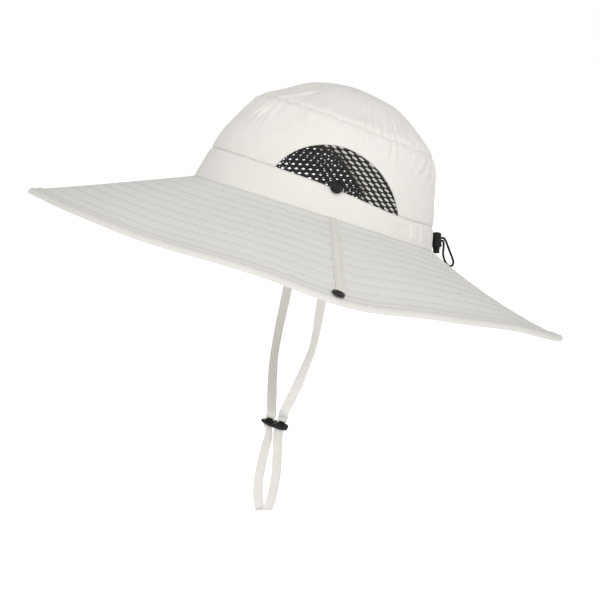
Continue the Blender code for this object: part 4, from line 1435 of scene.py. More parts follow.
@dataclass
class WindowNet:
    """The knitted net behind one window."""

    form: CrownForm
    wardrobe: Wardrobe
    repeats: Repeats
    side: Side
    pitch: float = 0.0059
    row_pitch: float = 0.0037
    hole_length: float = 0.0052
    hole_width: float = 0.0019
    rows_lean: float = math.radians(16.0)
    holes_lean: float = math.radians(-27.0)
    thickness: float = 0.0007
    margin: float = 0.0050
    end_margin: float = 0.0040
    middle_rise: float = 0.0160
    clearance: float = 0.0007
    weld: float = 0.00035
    nudge: float = 0.0005

    def cell(self) -> Piece:
        """Makes one hole with the yarn around it.

        Returns:
            A six sided tile with the hole in its middle.
        """
        high = self.row_pitch / 2.0 + self.pitch**2 / (8.0 * self.row_pitch)
        low = self.row_pitch / 2.0 - self.pitch**2 / (8.0 * self.row_pitch)
        half = self.pitch / 2.0
        tile = ((half, -low), (half, low), (0.0, high), (-half, low), (-half, -low), (0.0, -high))
        edge = []
        for here, onward in zip(tile, tile[1:] + tile[:1]):
            edge.append(here)
            edge.append(((here[0] + onward[0]) / 2.0, (here[1] + onward[1]) / 2.0))
        rim = []
        cosine, sine = math.cos(self.holes_lean), math.sin(self.holes_lean)
        for x, y in edge:
            turn = math.atan2(y * 1.35, x) - self.holes_lean
            along = 0.5 * self.hole_length * math.cos(turn)
            over = 0.5 * self.hole_width * math.sin(turn)
            rim.append((along * cosine - over * sine, along * sine + over * cosine))
        corners = []
        for share, lift in YARN_SECTION:
            for (x, y), (u, v) in zip(edge, rim):
                corners.append((x + (u - x) * share, y + (v - y) * share, lift))
        faces = grid_faces(len(YARN_SECTION), len(edge), wrap=True)
        return make_mesh("net_cell", np.array(corners), faces)

    def spot(self, along: Array, height: Array, depth: float) -> tuple[Array, Array]:
        """Places behind the window.

        Args:
            along: Distances from the window's middle to the back.
            height: Heights over the band seam.
            depth: How far behind the cloth's face.

        Returns:
            The points and their outward directions, in the hat's own axes.
        """
        turn = (along - self.form.window_ahead) / self.form.girth(height)
        angle = turn if self.side is Side.LEFT else math.pi - turn
        level = self.form.level_at(self.form.band_seam(angle) + height)
        out = self.form.normal(angle, level)
        return self.form.plain(angle, level) - out * depth, out

    def build(self) -> None:
        """Builds and dresses the net."""
        form = self.form
        cosine, sine = math.cos(self.rows_lean), math.sin(self.rows_lean)
        places = []
        for row in NET_ROWS:
            for column in NET_COLUMNS:
                x = (column + 0.5 * (row % 2)) * self.pitch
                y = row * self.row_pitch
                places.append((x * cosine - y * sine, x * sine + y * cosine + self.middle_rise))
        grid = np.array(places)
        radius = (form.window_half_chord**2 + form.window_height**2) / (2.0 * form.window_height)
        middle = form.window_height - radius
        inside = np.hypot(grid[:, 0], grid[:, 1] - middle) < radius + self.margin
        inside &= grid[:, 1] > -self.margin
        inside &= np.abs(grid[:, 0]) < form.window_half_chord + self.end_margin
        grid = grid[inside]
        depth = form.cloth + self.clearance
        spots, out = self.spot(grid[:, 0], grid[:, 1], depth)
        further = grid + self.nudge * np.array([cosine, sine])
        run = self.spot(further[:, 0], further[:, 1], depth)[0] - spots
        if self.side is Side.RIGHT:
            run = -run
        net = self.repeats.build(
            f"net_yarn_{self.side.label}", self.cell(), tipped(spots), tipped(run), tipped(out),
            (1.0, 1.0, 1.0), self.wardrobe.material(NET_YARN), weld=self.weld,
        )
        wall = net.modifiers.new("Yarn", "SOLIDIFY")
        wall.thickness = self.thickness
        wall.offset = -1.0
        baked(net)
        LOG.info("%s: %d holes", net.name, len(grid))
        self.wardrobe.dress(net, NET_YARN, Slot.NET, f"net_{self.side.label}")


# The brim


@dataclass(frozen=True)
class BrimRow:
    """The brim in one direction, in degrees from the side: the rim's drop and the flare."""

    name: str
    angle: float
    drop: float
    flare: float


BRIM_ROWS = (
    BrimRow("front", -90, 0.930, 0.03),
    BrimRow("front_quarter", -45, 1.050, -0.08),
    BrimRow("ahead_of_side", -15, 1.037, -0.18),
    BrimRow("side_seam", 3, 1.064, -0.22),
    BrimRow("behind_side", 20, 0.870, -0.22),
    BrimRow("back_quarter", 45, 0.685, 0.12),
    BrimRow("back", 90, 0.645, 0.62),
)


@dataclass
class BrimForm:
    """The brim's top face, by angle and by share of the way from crown to rim."""

    crown: CrownForm
    half_length: float = 0.2280
    half_width: float = 0.1950
    drop: float = 0.0550
    thickness: float = 0.0024
    gap: float = 0.0004
    top_lift: float = 0.0003
    quilt_depth: float = 0.00044
    quilt_width: float = 0.0013
    pucker_depth: float = 0.00016
    pucker_reach: float = 0.0028
    wave_height: float = 0.0011
    quilt_rows: int = 9
    first_row: float = 0.092
    last_row: float = 0.846

    def column(self, angle: Array, name: str) -> Array:
        """Reads a column of the brim's table.

        Args:
            angle: Directions round the hat.
            name: The column of BRIM_ROWS.

        Returns:
            The column's smooth value in each direction, the same on both sides.
        """
        turn = np.degrees(np.arcsin(np.clip(np.sin(angle), -1.0, 1.0)))
        places = np.array([row.angle for row in BRIM_ROWS], dtype=float)
        values = np.array([getattr(row, name) for row in BRIM_ROWS])
        slopes = np.zeros_like(values)
        slopes[1:-1] = (values[2:] - values[:-2]) / (places[2:] - places[:-2])
        low = np.clip(np.searchsorted(places, turn, side="left") - 1, 0, len(places) - 2)
        width = places[low + 1] - places[low]
        t = (turn - places[low]) / width
        return (
            values[low] * (1.0 + 2.0 * t) * (1.0 - t) ** 2
            + slopes[low] * width * t * (1.0 - t) ** 2
            + values[low + 1] * t * t * (3.0 - 2.0 * t)
            + slopes[low + 1] * width * t * t * (t - 1.0)
        )

    def point(self, angle: Array, share: Array, up: Array | float = 0.0) -> Array:
        """Points over the brim's plain top face.

        Args:
            angle: Directions round the hat.
            share: Shares of the way from the crown to the rim.
            up: Height over the face.

        Returns:
            The points, in the hat's own axes.
        """
        angle = np.asarray(angle, dtype=float)
        angle, share = np.broadcast_arrays(angle, np.asarray(share, dtype=float))
        crown = self.crown
        across = (crown.half_width * (1.0 - share) + self.half_width * share) * np.cos(angle)
        along = (crown.half_length * (1.0 - share) + self.half_length * share) * np.sin(angle)
        fall = np.maximum(0.0, share * (1.0 + self.column(angle, "flare") * (1.0 - share)))
        drop = self.drop * self.column(angle, "drop") * fall
        return np.stack([across, along, up - self.gap - drop], axis=-1)

    def ahead(self, side: Side, distance: float, share: Array | float) -> Array:
        """Finds a direction near a side's middle.

        Args:
            side: The side.
            distance: How far ahead of the side's middle.
            share: Shares of the way from the crown to the rim.

        Returns:
            The direction round the hat.
        """
        length = self.crown.half_length + (self.half_length - self.crown.half_length) * np.asarray(share)
        turn = -np.arcsin(distance / length)
        return turn if side is Side.LEFT else math.pi - turn

    def reach(self, angle: Array) -> Array:
        """How far the brim stands out, level, in each direction."""
        away = self.point(angle, 1.0) - self.point(angle, 0.0)
        return np.hypot(away[..., 0], away[..., 1])

    def row_shares(self) -> Array:
        """Shares at which the rows of quilting lie."""
        return np.linspace(self.first_row, self.last_row, self.quilt_rows)

    def quilting(self, angle: Array, share: Array) -> Array:
        """Dips the padded cloth at each row of stitches.

        Args:
            angle: Directions round the hat.
            share: Shares of the way from the crown to the rim.

        Returns:
            How far the cloth stands out, below 0 at a row.
        """
        reach = self.reach(angle)
        rows = self.row_shares()
        total = np.zeros(np.broadcast(angle, share).shape)
        for number, row in enumerate(rows):
            away = (share - row) * reach
            total -= self.quilt_depth * np.exp(-((away / self.quilt_width) ** 2))
            puckers = np.sin((150 + 13 * number) * angle + number) * np.sin((37 + 5 * number) * angle)
            total += self.pucker_depth * puckers * np.exp(-np.abs(away) / self.pucker_reach)
        return total

    def waves(self, angle: Array, share: Array) -> Array:
        """The brim's slow unevenness, which grows towards the rim."""
        wavy = rumple(21, angle, share * 0.12, ((3, 0.9), (5, 0.8), (7, 0.6), (11, 0.5)))
        return self.wave_height * wavy * smooth_step(share)

    def top(self, angle: Array, share: Array, lift: float = 0.0) -> Array:
        """The quilted top face."""
        up = self.quilting(angle, share) + self.waves(angle, share) + self.top_lift + lift
        return self.point(angle, share, up)

    def bottom(self, angle: Array, share: Array, lift: float = 0.0) -> Array:
        """The quilted underside, which dips at the same rows."""
        up = -0.6 * self.quilting(angle, share) + self.waves(angle, share) - self.thickness - lift
        return self.point(angle, share, up)


# Shares at which the top face has a row of corners besides those at the quilting, whose rows are at
# these distances from each line of stitches
PLAIN_SHARES = (0.0, 0.02, 0.045, 0.93, 0.985)
ROW_OFFSETS = (-0.0050, -0.0026, -0.0013, 0.0, 0.0013, 0.0026)
# Where both faces end: under the binding, and tucked inside the crown
RIM_SHARE = 0.985
TUCKED_SHARE = -0.009
# The binding's upper half: millimetres in from the rim, and over the brim's face. It has a turned
# end, a crease at its stitches, a roll beside them and a round edge
BINDING_SECTION = (
    (8.6, 0.10), (8.4, 0.74), (7.8, 0.96), (7.2, 0.60), (6.8, 0.86), (5.9, 0.82), (5.0, 0.50),
    (4.5, -0.15), (4.0, 0.46), (3.1, 0.98), (1.8, 1.20), (0.7, 0.94), (-0.1, 0.36),
)
# A side tape's section: shares of its half width and of its height
TAPE_SECTION = (
    (-1.00, 0.05), (-1.00, 0.52), (-0.90, 0.74), (-0.72, 0.66), (-0.60, 0.46), (-0.44, 0.62), (0.0, 0.72),
    (0.44, 0.62), (0.60, 0.46), (0.72, 0.66), (0.90, 0.74), (1.00, 0.52), (1.00, 0.05),
)


@dataclass
class Brim:
    """The quilted brim with its stitches, bound edge and side tapes."""

    form: BrimForm
    wardrobe: Wardrobe
    seamstress: Seamstress
    columns: int = 720
    tape_width: float = 0.0075
    tape_ahead: float = 0.0025
    tape_height: float = 0.0009
    tape_end: float = 0.0078
    under_rows: int = 34
    binding_skin: float = 0.0001
    binding_inner: float = 0.0080
    rim_fill: float = 0.0012
    rim_bulge: float = 0.0005
    pucker: float = 0.10
    rim_radius: float = 0.21
    section_step: float = 0.0012

    def turns(self) -> Array:
        """Directions of the brim's columns."""
        return np.linspace(0.0, 2.0 * math.pi, self.columns, endpoint=False)

    def cloth(self) -> Piece:
        """Makes the quilted cloth.

        Returns:
            Its top and bottom face, as one closed piece.
        """
        form, turns = self.form, self.turns()
        reach = float(np.mean(form.reach(turns)))
        shares = set(PLAIN_SHARES)
        for row in form.row_shares():
            for offset in ROW_OFFSETS:
                shares.add(float(row + offset / reach))
        top = np.array(sorted(shares))
        under = np.linspace(RIM_SHARE, 0.0, self.under_rows)
        top_grid = np.repeat(np.append(TUCKED_SHARE, top)[:, None], self.columns, axis=1)
        bottom_grid = np.repeat(np.append(under, TUCKED_SHARE)[:, None], self.columns, axis=1)
        corners = np.concatenate(
            [
                form.top(turns[None, :], top_grid).reshape(-1, 3),
                form.bottom(turns[None, :], bottom_grid).reshape(-1, 3),
            ]
        )
        rows = len(top_grid) + len(bottom_grid)
        uv = corners[:, :2].copy()
        faces = [tuple(reversed(face)) for face in grid_faces(rows, self.columns, wrap=True)]
        last = (rows - 1) * self.columns
        for column in range(self.columns):
            onward = (column + 1) % self.columns
            faces.append((last + column, column, onward, last + onward))
        piece = make_mesh("brim_cloth", tipped(corners), faces, uv)
        face_out(piece)
        return piece

    def row_path(self, share: Array | float, on_top: bool, lift: float) -> tuple[Array, Array]:
        """A closed row of stitches round the brim.

        Args:
            share: Shares of the way to the rim at which the row lies.
            on_top: Whether it is on the top face.
            lift: How far over that face.

        Returns:
            Its path and its outward directions, upright.
        """
        turns = np.linspace(0.0, 2.0 * math.pi, self.columns + 1)
        face = self.form.top if on_top else self.form.bottom
        path = face(turns, share, lift)
        share, nudge = np.asarray(share), 0.01
        away = self.form.point(turns, share + nudge) - self.form.point(turns, share - nudge)
        onward = np.roll(path[:-1], -1, axis=0) - np.roll(path[:-1], 1, axis=0)
        onward = np.concatenate([onward, onward[:1]])
        out = unit(np.cross(away, onward))
        out = np.where(out[:, 2:3] < 0.0, -out, out)
        return tipped(path), tipped(out if on_top else -out)

    def binding(self) -> Piece:
        """Makes the bound edge.

        Returns:
            The strip round the edge, a little puckered by its stitches.
        """
        form, turns = self.form, self.turns()
        reach = form.reach(turns)
        half = form.thickness / 2.0
        inner, fill, skin = self.binding_inner, self.rim_fill, half - self.binding_skin
        loop = [(d / 1000.0, half + h / 1000.0) for d, h in BINDING_SECTION]
        loop += [(-self.rim_bulge, 0.0)]
        loop += [(d / 1000.0, -half - h / 1000.0) for d, h in reversed(BINDING_SECTION)]
        loop += [(inner, -skin), (fill, -skin), (fill, skin), (inner, skin)]
        rings = []
        pucker = rumple(31, turns, 0.0 * turns, ((90, 1.0), (131, 1.0), (173, 1.0)))
        for inward, height in loop:
            share = 1.0 - inward / reach
            swell = 1.0 + self.pucker * pucker * (1.0 if inward > 0.001 else 0.3)
            up = -half + form.top_lift + (height * swell if abs(height) > half else height)
            rings.append(form.point(turns, share, up + form.waves(turns, np.minimum(share, 1.0))))
        sides = len(loop)
        corners = np.stack(rings, axis=1).reshape(-1, 3)
        around = np.repeat(turns * self.rim_radius, sides)
        over = np.tile(np.arange(sides) * self.section_step, self.columns)
        faces = []
        for column in range(self.columns):
            onward = (column + 1) % self.columns
            for at in range(sides):
                step = (at + 1) % sides
                here, there = column * sides, onward * sides
                faces.append((here + at, there + at, there + step, here + step))
        piece = make_mesh("binding_cloth", tipped(corners), faces, np.stack([around, over], axis=-1))
        face_out(piece)
        return piece

    def tape(self, side: Side) -> Piece:
        """Makes the folded tape over a side seam.

        Args:
            side: The side.

        Returns:
            The strip, with its turned edges standing a little proud.
        """
        form = self.form
        reach = float(form.reach(np.array([0.0]))[0])
        shares = np.linspace(0.003, 1.0 - self.tape_end / reach, 90)
        angles = form.ahead(side, self.tape_ahead, shares)
        half = self.tape_width / 2.0
        corners, uv = [], []
        for share, angle in zip(shares, angles):
            middle = form.point(angle, share)
            sway = 0.0004 * math.sin(9.0 * share) + 0.0002 * math.sin(31.0 * share)
            for across, height in TAPE_SECTION:
                aside = across * half + sway
                beside = form.ahead(side, self.tape_ahead - aside, share)
                lift = float(form.point(beside, share)[2] - middle[2])
                up = lift + form.top_lift + height * self.tape_height
                corners.append(middle + [0.0, aside, up])
                uv.append((share * reach, aside))
        faces = tube_faces(len(shares), len(TAPE_SECTION))
        name = f"side_tape_cloth_{side.label}"
        piece = make_mesh(name, tipped(np.array(corners)), faces, np.array(uv))
        face_out(piece)
        return piece

    def tape_rows(self, side: Side) -> Rows:
        """Two rows of stitches that hold a side tape.

        Args:
            side: The side.

        Returns:
            Each row's path and outward directions.
        """
        reach = float(self.form.reach(np.array([0.0]))[0])
        shares = np.linspace(0.01, 1.0 - 0.0090 / reach, 60)
        rows = []
        for edge in (-0.60, 0.60):
            angles = self.form.ahead(side, self.tape_ahead - edge * self.tape_width / 2.0, shares)
            path = self.form.point(angles, shares) + [0.0, 0.0, 0.00080]
            out = np.tile([0.35 * side.sign, 0.0, 1.0], (len(shares), 1))
            rows.append((tipped(path), tipped(unit(out))))
        return rows

    def build(self) -> None:
        """Builds and dresses the brim and all that is sewn to it."""
        self.wardrobe.dress(self.cloth(), BRIM_CLOTH, Slot.BRIM, "brim")
        # The rim's binding wears the strip's cloth with painted shade in its colours
        self.wardrobe.dress(self.binding(), SHADED_RIM_BINDING, Slot.BINDING, "brim_binding")
        for on_top, label in ((True, "top"), (False, "under")):
            rows = [self.row_path(share, on_top, 0.0001) for share in self.form.row_shares()]
            self.seamstress.sew(f"quilting_stitches_{label}", rows, Slot.BRIM)
        turns = np.linspace(0.0, 2.0 * math.pi, self.columns + 1)
        edge = 1.0 - 0.0070 / self.form.reach(turns)
        hem = 0.0020 / self.form.reach(turns)
        rows = [
            self.row_path(share, on_top, lift)
            for share, on_top, lift in ((edge, True, 0.00055), (edge, False, 0.00085), (hem, True, 0.0001))
        ]
        for side in Side:
            self.wardrobe.dress(self.tape(side), BINDING_TAPE, Slot.BINDING, f"side_tape_{side.label}")
            rows += self.tape_rows(side)
        self.seamstress.sew("binding_stitches", rows, Slot.BINDING)


# Press studs


# The cap's top from its middle out: share of its radius, and how many ring heights below its top
CAP_RINGS = (
    (0.0, 1.0), (0.18, 1.0), (0.24, 0.2), (0.34, 0.2), (0.40, 1.0), (0.62, 1.0), (0.68, 0.0), (0.78, 0.0),
    (0.83, 0.9), (0.88, 0.9), (0.92, 0.35), (0.98, 0.6), (1.0, 1.7),
)
# Heights over the cloth's face: under the cap, over the back plate, and how thick the cap is
BRIM_STUD = {"above": 0.0013, "below": -0.0045, "cap_height": 0.0013}
CROWN_STUD = {"above": 0.0006, "below": -0.0033}


@dataclass
class PressStud:
    """A moulded stud: ringed cap, post and back plate."""

    wardrobe: Wardrobe
    name: str
    node: str
    place: Matrix
    above: float
    below: float
    radius: float = 0.0053
    cap_height: float = 0.0019
    ring_height: float = 0.00050
    back_radius: float = 0.0043
    back_height: float = 0.0010
    post_radius: float = 0.0012
    edge_radius: float = 0.00016

    def profile(self) -> list[tuple[float, float]]:
        """The stud's half section.

        Returns:
            Radius and height of each corner: two rings round a dished middle, post and back plate.
        """
        top = self.above + self.cap_height
        r, dip = self.radius, self.ring_height
        raw = [(share * r, top - dips * dip) for share, dips in CAP_RINGS]
        raw += [(r * 0.985, self.above), (self.post_radius, self.above)]
        raw += [(self.post_radius, self.below), (self.back_radius, self.below)]
        raw += [
            (self.back_radius * share, self.below - self.back_height * down)
            for share, down in ((1.0, 0.6), (0.86, 1.0), (0.4, 1.0))
        ]
        raw += [(0.0, self.below - self.back_height + 0.0003)]
        return rounded(raw, self.edge_radius, 2)

    def build(self) -> None:
        """Builds and dresses the stud."""
        stud = turned(self.name, self.profile(), 48, self.place)
        # The studs' plastic has painted sheen: its black is a shade lighter than the lock's
        self.wardrobe.dress(stud, STUD_PLASTIC_PAINTED_SHEEN, Slot.PLASTIC, self.node)


# The crown's stud: over the band's seam, and ahead of the window's middle
STUD_RISE = 0.0012
STUD_AHEAD = 0.0035
# The brim's stud: in from the rim, ahead of the side's middle, and turned up from the brim's slope
RIM_STUD_INWARD = 0.0064
RIM_STUD_AHEAD = 0.0042
STUD_LEAN = math.radians(13.0)


def stud_places(crown: CrownForm, brim: BrimForm, side: Side) -> tuple[Matrix, Matrix]:
    """Places one side's two studs.

    Args:
        crown: The crown's surface.
        brim: The brim's surface.
        side: The side.

    Returns:
        The brim stud's and the crown stud's matrix, upright.
    """
    tip = Matrix.Rotation(-TILT, 4, "X")
    share = 1.0 - RIM_STUD_INWARD / float(brim.reach(np.array([0.0]))[0])
    angle = float(brim.ahead(side, RIM_STUD_AHEAD, share))
    away = Vector(brim.point(angle, share + 0.01)) - Vector(brim.point(angle, share - 0.01))
    across = Vector((0.0, float(side.sign), 0.0))
    forward = Vector((0.0, 1.0, 0.0))
    upright = Matrix.Rotation(-STUD_LEAN * side.sign, 3, "Y")
    on_brim = facing(Vector(brim.point(angle, share)), upright @ away.cross(across), forward)
    turn = -(STUD_AHEAD + crown.window_ahead) / float(crown.girth(np.array([STUD_RISE]))[0])
    angle = turn if side is Side.LEFT else math.pi - turn
    level = crown.level_at(crown.band_seam(np.array([angle])) + STUD_RISE)
    at = np.array([angle]), level
    on_crown = facing(Vector(crown.plain(*at)[0]), Vector(crown.normal(*at)[0]), forward)
    return tip @ on_brim, tip @ on_crown


# Chin strap and slider


@dataclass(frozen=True)
class StrapRow:
    """A point of a strap's side: shares of the way down, aside and ahead, and its twist."""

    down: float
    side: float
    ahead: float
    twist: float


LEFT_LEG = (
    StrapRow(0.150, 0.995, 0.260, 8),
    StrapRow(0.370, 0.965, 0.475, 32),
    StrapRow(0.580, 0.890, 0.640, 58),
    StrapRow(0.715, 0.740, 0.815, 46),
    StrapRow(0.824, 0.520, 0.935, 16),
    StrapRow(0.905, 0.280, 0.990, 4),
    StrapRow(0.950, 0.110, 1.000, 0),
)
RIGHT_LEG = (
    StrapRow(0.200, 0.990, 0.110, -6),
    StrapRow(0.420, 0.915, 0.310, -22),
    StrapRow(0.600, 0.770, 0.530, -40),
    StrapRow(0.730, 0.560, 0.710, -46),
    StrapRow(0.835, 0.310, 0.840, -30),
    StrapRow(0.925, 0.110, 0.930, -8),
)
# The loop under the slider: share of the way down it, and its front and its rear strand's distance
# behind the slider's middle, in loop widths
LOOP_ROWS = (
    (0.14, -0.37, 0.20),
    (0.30, -0.60, 0.17),
    (0.47, -0.80, 0.13),
    (0.63, -0.95, 0.05),
    (0.78, -1.00, -0.10),
    (0.90, -0.97, -0.26),
    (0.965, -0.90, -0.42),
    (0.995, -0.857, -0.52),
)
# The tack's runs of stitches: the side they are on, their front and rear end in loop widths behind
# the slider's middle, and whether they are on the face of the end that laps over the other
TACK_RUNS = (
    (1, -0.74, -0.20, True),
    (1, -1.10, -0.80, False),
    (-1, -1.10, -0.62, True),
    (-1, -0.54, -0.20, False),
)


@dataclass
class ChinStrap:
    """The strap: one loop of webbing from side to side, through a slider to a sewn end.

    Over a slot the strap is straight from collar_height up, and collar_rise is how far the collar itself
    stands up. The front strand turns by loop_twist under the slider, and narrows by the share loop_pinch.
    """

    crown: CrownForm
    wardrobe: Wardrobe
    seamstress: Seamstress
    width: float = 0.0080
    thickness: float = 0.0012
    gap: float = 0.0004
    brim_thickness: float = 0.0024
    anchor_angle: float = math.radians(3.0)
    anchor_rise: float = 0.0150
    slider_ahead: float = 0.0329
    slider_below: float = 0.1734
    slider_tilt: float = math.radians(18.0)
    slider_roll: float = math.radians(20.0)
    slider_width: float = 0.0105
    slider_thickness: float = 0.0034
    collar_height: float = 0.0013
    collar_wall: float = 0.0010
    bar: float = 0.0016
    end_wall: float = 0.0021
    slot_clearance: float = 0.0004
    loop_length: float = 0.0721
    loop_width: float = 0.0140
    loop_twist: float = math.radians(30.0)
    loop_pinch: float = 0.42
    collar_rise: float = 0.0023
    plate_taper: float = 0.42
    plate_bevel: float = 0.36
    edge_bevel: float = 0.00022
    selvedge: float = 0.42
    cup: float = 0.00018
    pinch_before: float = 1.3
    pinch_spread: float = 0.9
    cut_from: float = 0.955
    cut_over: float = 0.03
    spline_steps: int = 10
    tack_lift: float = 0.00022
    tack_inner: float = 0.00016

    def frame(self) -> tuple[Array, Array, Array]:
        """The slider's place.

        Returns:
            Its middle, the way along it to the back, and the way down through it.
        """
        sine, cosine = math.sin(self.slider_tilt), math.cos(self.slider_tilt)
        middle = np.array([0.0, -self.slider_ahead, -self.slider_below])
        return middle, np.array([0.0, cosine, -sine]), np.array([0.0, -sine, -cosine])

    def spacing(self) -> float:
        """Half the distance between the middles of the two slots."""
        return 0.5 * (self.width + 2.0 * self.slot_clearance + self.bar)

    def wall(self, angle: float, rise: float, depth: float) -> Array:
        """A point inside the band's wall.

        Args:
            angle: Direction round the crown.
            rise: Height over the brim seam.
            depth: How far in from the cloth's face.

        Returns:
            The point, in the hat's own axes.
        """
        level = self.crown.level_at(rise)
        at = np.array([angle]), np.array([level])
        nudge = 0.001
        across = self.crown.plain(at[0] + nudge, at[1]) - self.crown.plain(at[0] - nudge, at[1])
        flat = unit(np.stack([across[:, 1], -across[:, 0], 0.0 * across[:, 0]], axis=-1))
        return (self.crown.plain(*at) - flat * depth)[0]

    def path(self, side: Side) -> tuple[Array, Array]:
        """The way down one side.

        Args:
            side: The side.

        Returns:
            Points and twists from its anchor to its sewn end.
        """
        middle, length, down = self.frame()
        angle = self.anchor_angle if side is Side.LEFT else math.pi - self.anchor_angle
        depth = self.crown.cloth + self.gap + self.thickness / 2.0
        points, twists = [], []
        for share in (1.0, 0.66, 0.33, 0.0):
            inside = self.wall(angle, self.anchor_rise * share, depth + self.gap * (1.0 - share))
            points.append(tipped(inside))
        hem = points[-1]
        under_brim = self.wall(angle, 0.0, depth + 3.0 * self.gap)
        points.append(tipped(under_brim - [0.0, 0.0, 2.5 * self.brim_thickness]))
        twists += [0.0] * 5
        slot = middle + length * self.spacing() * side.sign
        upper = slot - down * (self.slider_thickness / 2.0 + self.collar_height + 4.0 * self.gap)
        lower = slot + down * (self.slider_thickness / 2.0 + 3.0 * self.gap)
        for row in LEFT_LEG if side is Side.LEFT else RIGHT_LEG:
            away = [hem[0] * row.side, (upper[1] - hem[1]) * row.ahead, (upper[2] - hem[2]) * row.down]
            points.append(np.array([away[0], hem[1] + away[1], hem[2] + away[2]]))
            twists.append(math.radians(row.twist))
        above = upper - down * 0.4 * self.width + [0.5 * self.gap * side.sign, 0.0, 0.0]
        below = lower + down * 0.3 * self.width
        if side is Side.RIGHT:
            below = lower + [0.0, 0.0010, -0.3 * self.width]
        points += [above, upper, slot, lower, below]
        twists += [0.0] * 4 + [0.0 if side is Side.LEFT else 0.6 * self.loop_twist]
        lap = 0.5 * (self.thickness + 0.0001) * side.sign
        for share, front, rear in LOOP_ROWS:
            across = rear if side is Side.LEFT else front
            x = lap * float(smooth_step((share - 0.5) / 0.4))
            y = middle[1] + self.loop_width * across
            points.append(np.array([x, y, middle[2] - self.loop_length * share]))
            twists.append(0.0 if side is Side.LEFT else self.loop_twist * max(0.0, 1.0 - share / 0.6))
        return np.array(points), np.array(twists)

    def ribbon(self, side: Side) -> Piece:
        """Makes one side of the strap.

        Args:
            side: The side.

        Returns:
            Twisted webbing with rounded selvedges.
        """
        points, twists = self.path(side)
        path = smooth_path(points, self.spline_steps)
        pinch_at = len(points) - len(LOOP_ROWS) - self.pinch_before
        at = np.arange(len(path)) / self.spline_steps
        turns = spline(twists, at, twists[-1])
        _, length, _ = self.frame()
        angle = self.anchor_angle if side is Side.LEFT else math.pi - self.anchor_angle
        flat = unit(self.wall(angle, 0.0, 0.0) - self.wall(angle, 0.0, 0.001))
        across_wall = tipped(np.array([-flat[1], flat[0], 0.0]) * side.sign)
        section = []
        for turn in np.linspace(0.0, 2.0 * math.pi, 20, endpoint=False):
            x, y = math.cos(turn), math.sin(turn)
            square_x, square_y = (np.sign(v) * abs(v) ** self.selvedge * 0.5 for v in (x, y))
            section.append((square_x, square_y))
        tangents = unit(np.gradient(path, axis=0))
        run = run_along(path)
        corners, uv = [], []
        for number, (spot, tangent, twist) in enumerate(zip(path, tangents, turns)):
            blend = float(smooth_step(number / (0.3 * len(path))))
            across = across_wall * (1.0 - blend) + length * blend
            across = unit(across - tangent * np.dot(across, tangent))
            turn = Matrix.Rotation(twist * side.sign, 3, Vector(tangent))
            across = np.array(turn @ Vector(across))
            normal = np.cross(tangent, across)
            # The sewn end is cut level, whichever way the webbing runs there
            cut = float(smooth_step((number / (len(path) - 1) - self.cut_from) / self.cut_over))
            level = np.array([0.0, 1.0, 0.0]) / max(0.5, across[1])
            across = across * (1.0 - cut) + level * cut
            width = self.width
            if side is Side.RIGHT:
                from_pinch = (at[number] - pinch_at) / self.pinch_spread
                width *= 1.0 - self.loop_pinch * math.exp(-(from_pinch**2))
            for x, y in section:
                cup = self.cup * (1.0 - (2.0 * x) ** 2)
                corners.append(spot + across * x * width + normal * (y * self.thickness + cup))
                uv.append((run[number], x * self.width + 0.3 * y * self.thickness))
        faces = tube_faces(len(path), len(section))
        piece = make_mesh(f"strap_webbing_{side.label}", np.array(corners), faces, np.array(uv))
        face_out(piece)
        return piece

    def slider(self) -> Piece:
        """Makes the slider.

        Returns:
            A bevelled oval plate with two collared slots.
        """
        middle, length, down = (Vector(v) for v in self.frame())
        place = facing(middle, -down, length)
        slot_length = self.width + 2.0 * self.slot_clearance
        slot_width = self.thickness + 2.0 * self.slot_clearance
        half = self.spacing() + slot_length / 2.0 + self.end_wall
        work = bmesh.new()
        bmesh.ops.create_cone(
            work, cap_ends=True, segments=72, radius1=1.0, radius2=1.0, depth=self.slider_thickness
        )
        bmesh.ops.scale(work, vec=(self.slider_width / 2.0, half, 1.0), verts=work.verts)
        rims = [edge for edge in work.edges if abs(edge.verts[0].co.z - edge.verts[1].co.z) < 1e-9]
        bevel = self.slider_thickness * self.plate_bevel
        bmesh.ops.bevel(work, geom=rims, offset=bevel, segments=5, affect="EDGES", profile=0.55)
        for corner in work.verts:
            corner.co.z *= 1.0 + self.plate_taper * corner.co.y / half
        mesh = bpy.data.meshes.new("slider_plate")
        work.to_mesh(mesh)
        work.free()
        roll = Matrix.Rotation(self.slider_roll, 4, "Y")
        mesh.transform(roll)
        plate = bpy.data.objects.new("slider_plate", mesh)
        bpy.context.scene.collection.objects.link(plate)
        tools = []
        for side in Side:
            spot = Vector((0.0, self.spacing() * side.sign, 0.0))
            size = (
                slot_width + 2.0 * self.collar_wall, slot_length * 0.84,
                self.collar_rise + self.slider_thickness * 0.5,
            )
            lift = Vector((0.0, 0.0, self.slider_thickness * 0.25 + self.collar_rise / 2.0))
            collar = block(size, spot + lift, self.collar_wall * 1.3, all_edges=True)
            collar.data.transform(roll)
            tools.append((collar, "UNION"))
        for side in Side:
            spot = Vector((0.0, self.spacing() * side.sign, 0.0))
            slot = block((slot_width, slot_length, self.slider_thickness * 5.0), spot)
            tools.append((slot, "DIFFERENCE"))
        carved(plate, tools, self.edge_bevel, 40.0)
        plate.data.transform(place)
        return plate

    def tack(self) -> Rows:
        """The stitches where the two ends cross at the loop's foot.

        Returns:
            Each row's path and outward directions, two rows on each face of each end.
        """
        middle, _, _ = self.frame()
        outer, inner = self.thickness + self.tack_lift, self.tack_inner
        rows = []
        for share in (0.990, 0.972):
            z = middle[2] - self.loop_length * share
            for sign, start, stop, aside in TACK_RUNS:
                x = sign * (outer if aside else inner)
                y = middle[1] + self.loop_width * np.linspace(start, stop, 12)
                path = np.stack([np.full(12, x), y, np.full(12, z)], axis=-1)
                rows.append((path, np.tile([float(sign), 0.0, 0.0], (12, 1))))
        return rows

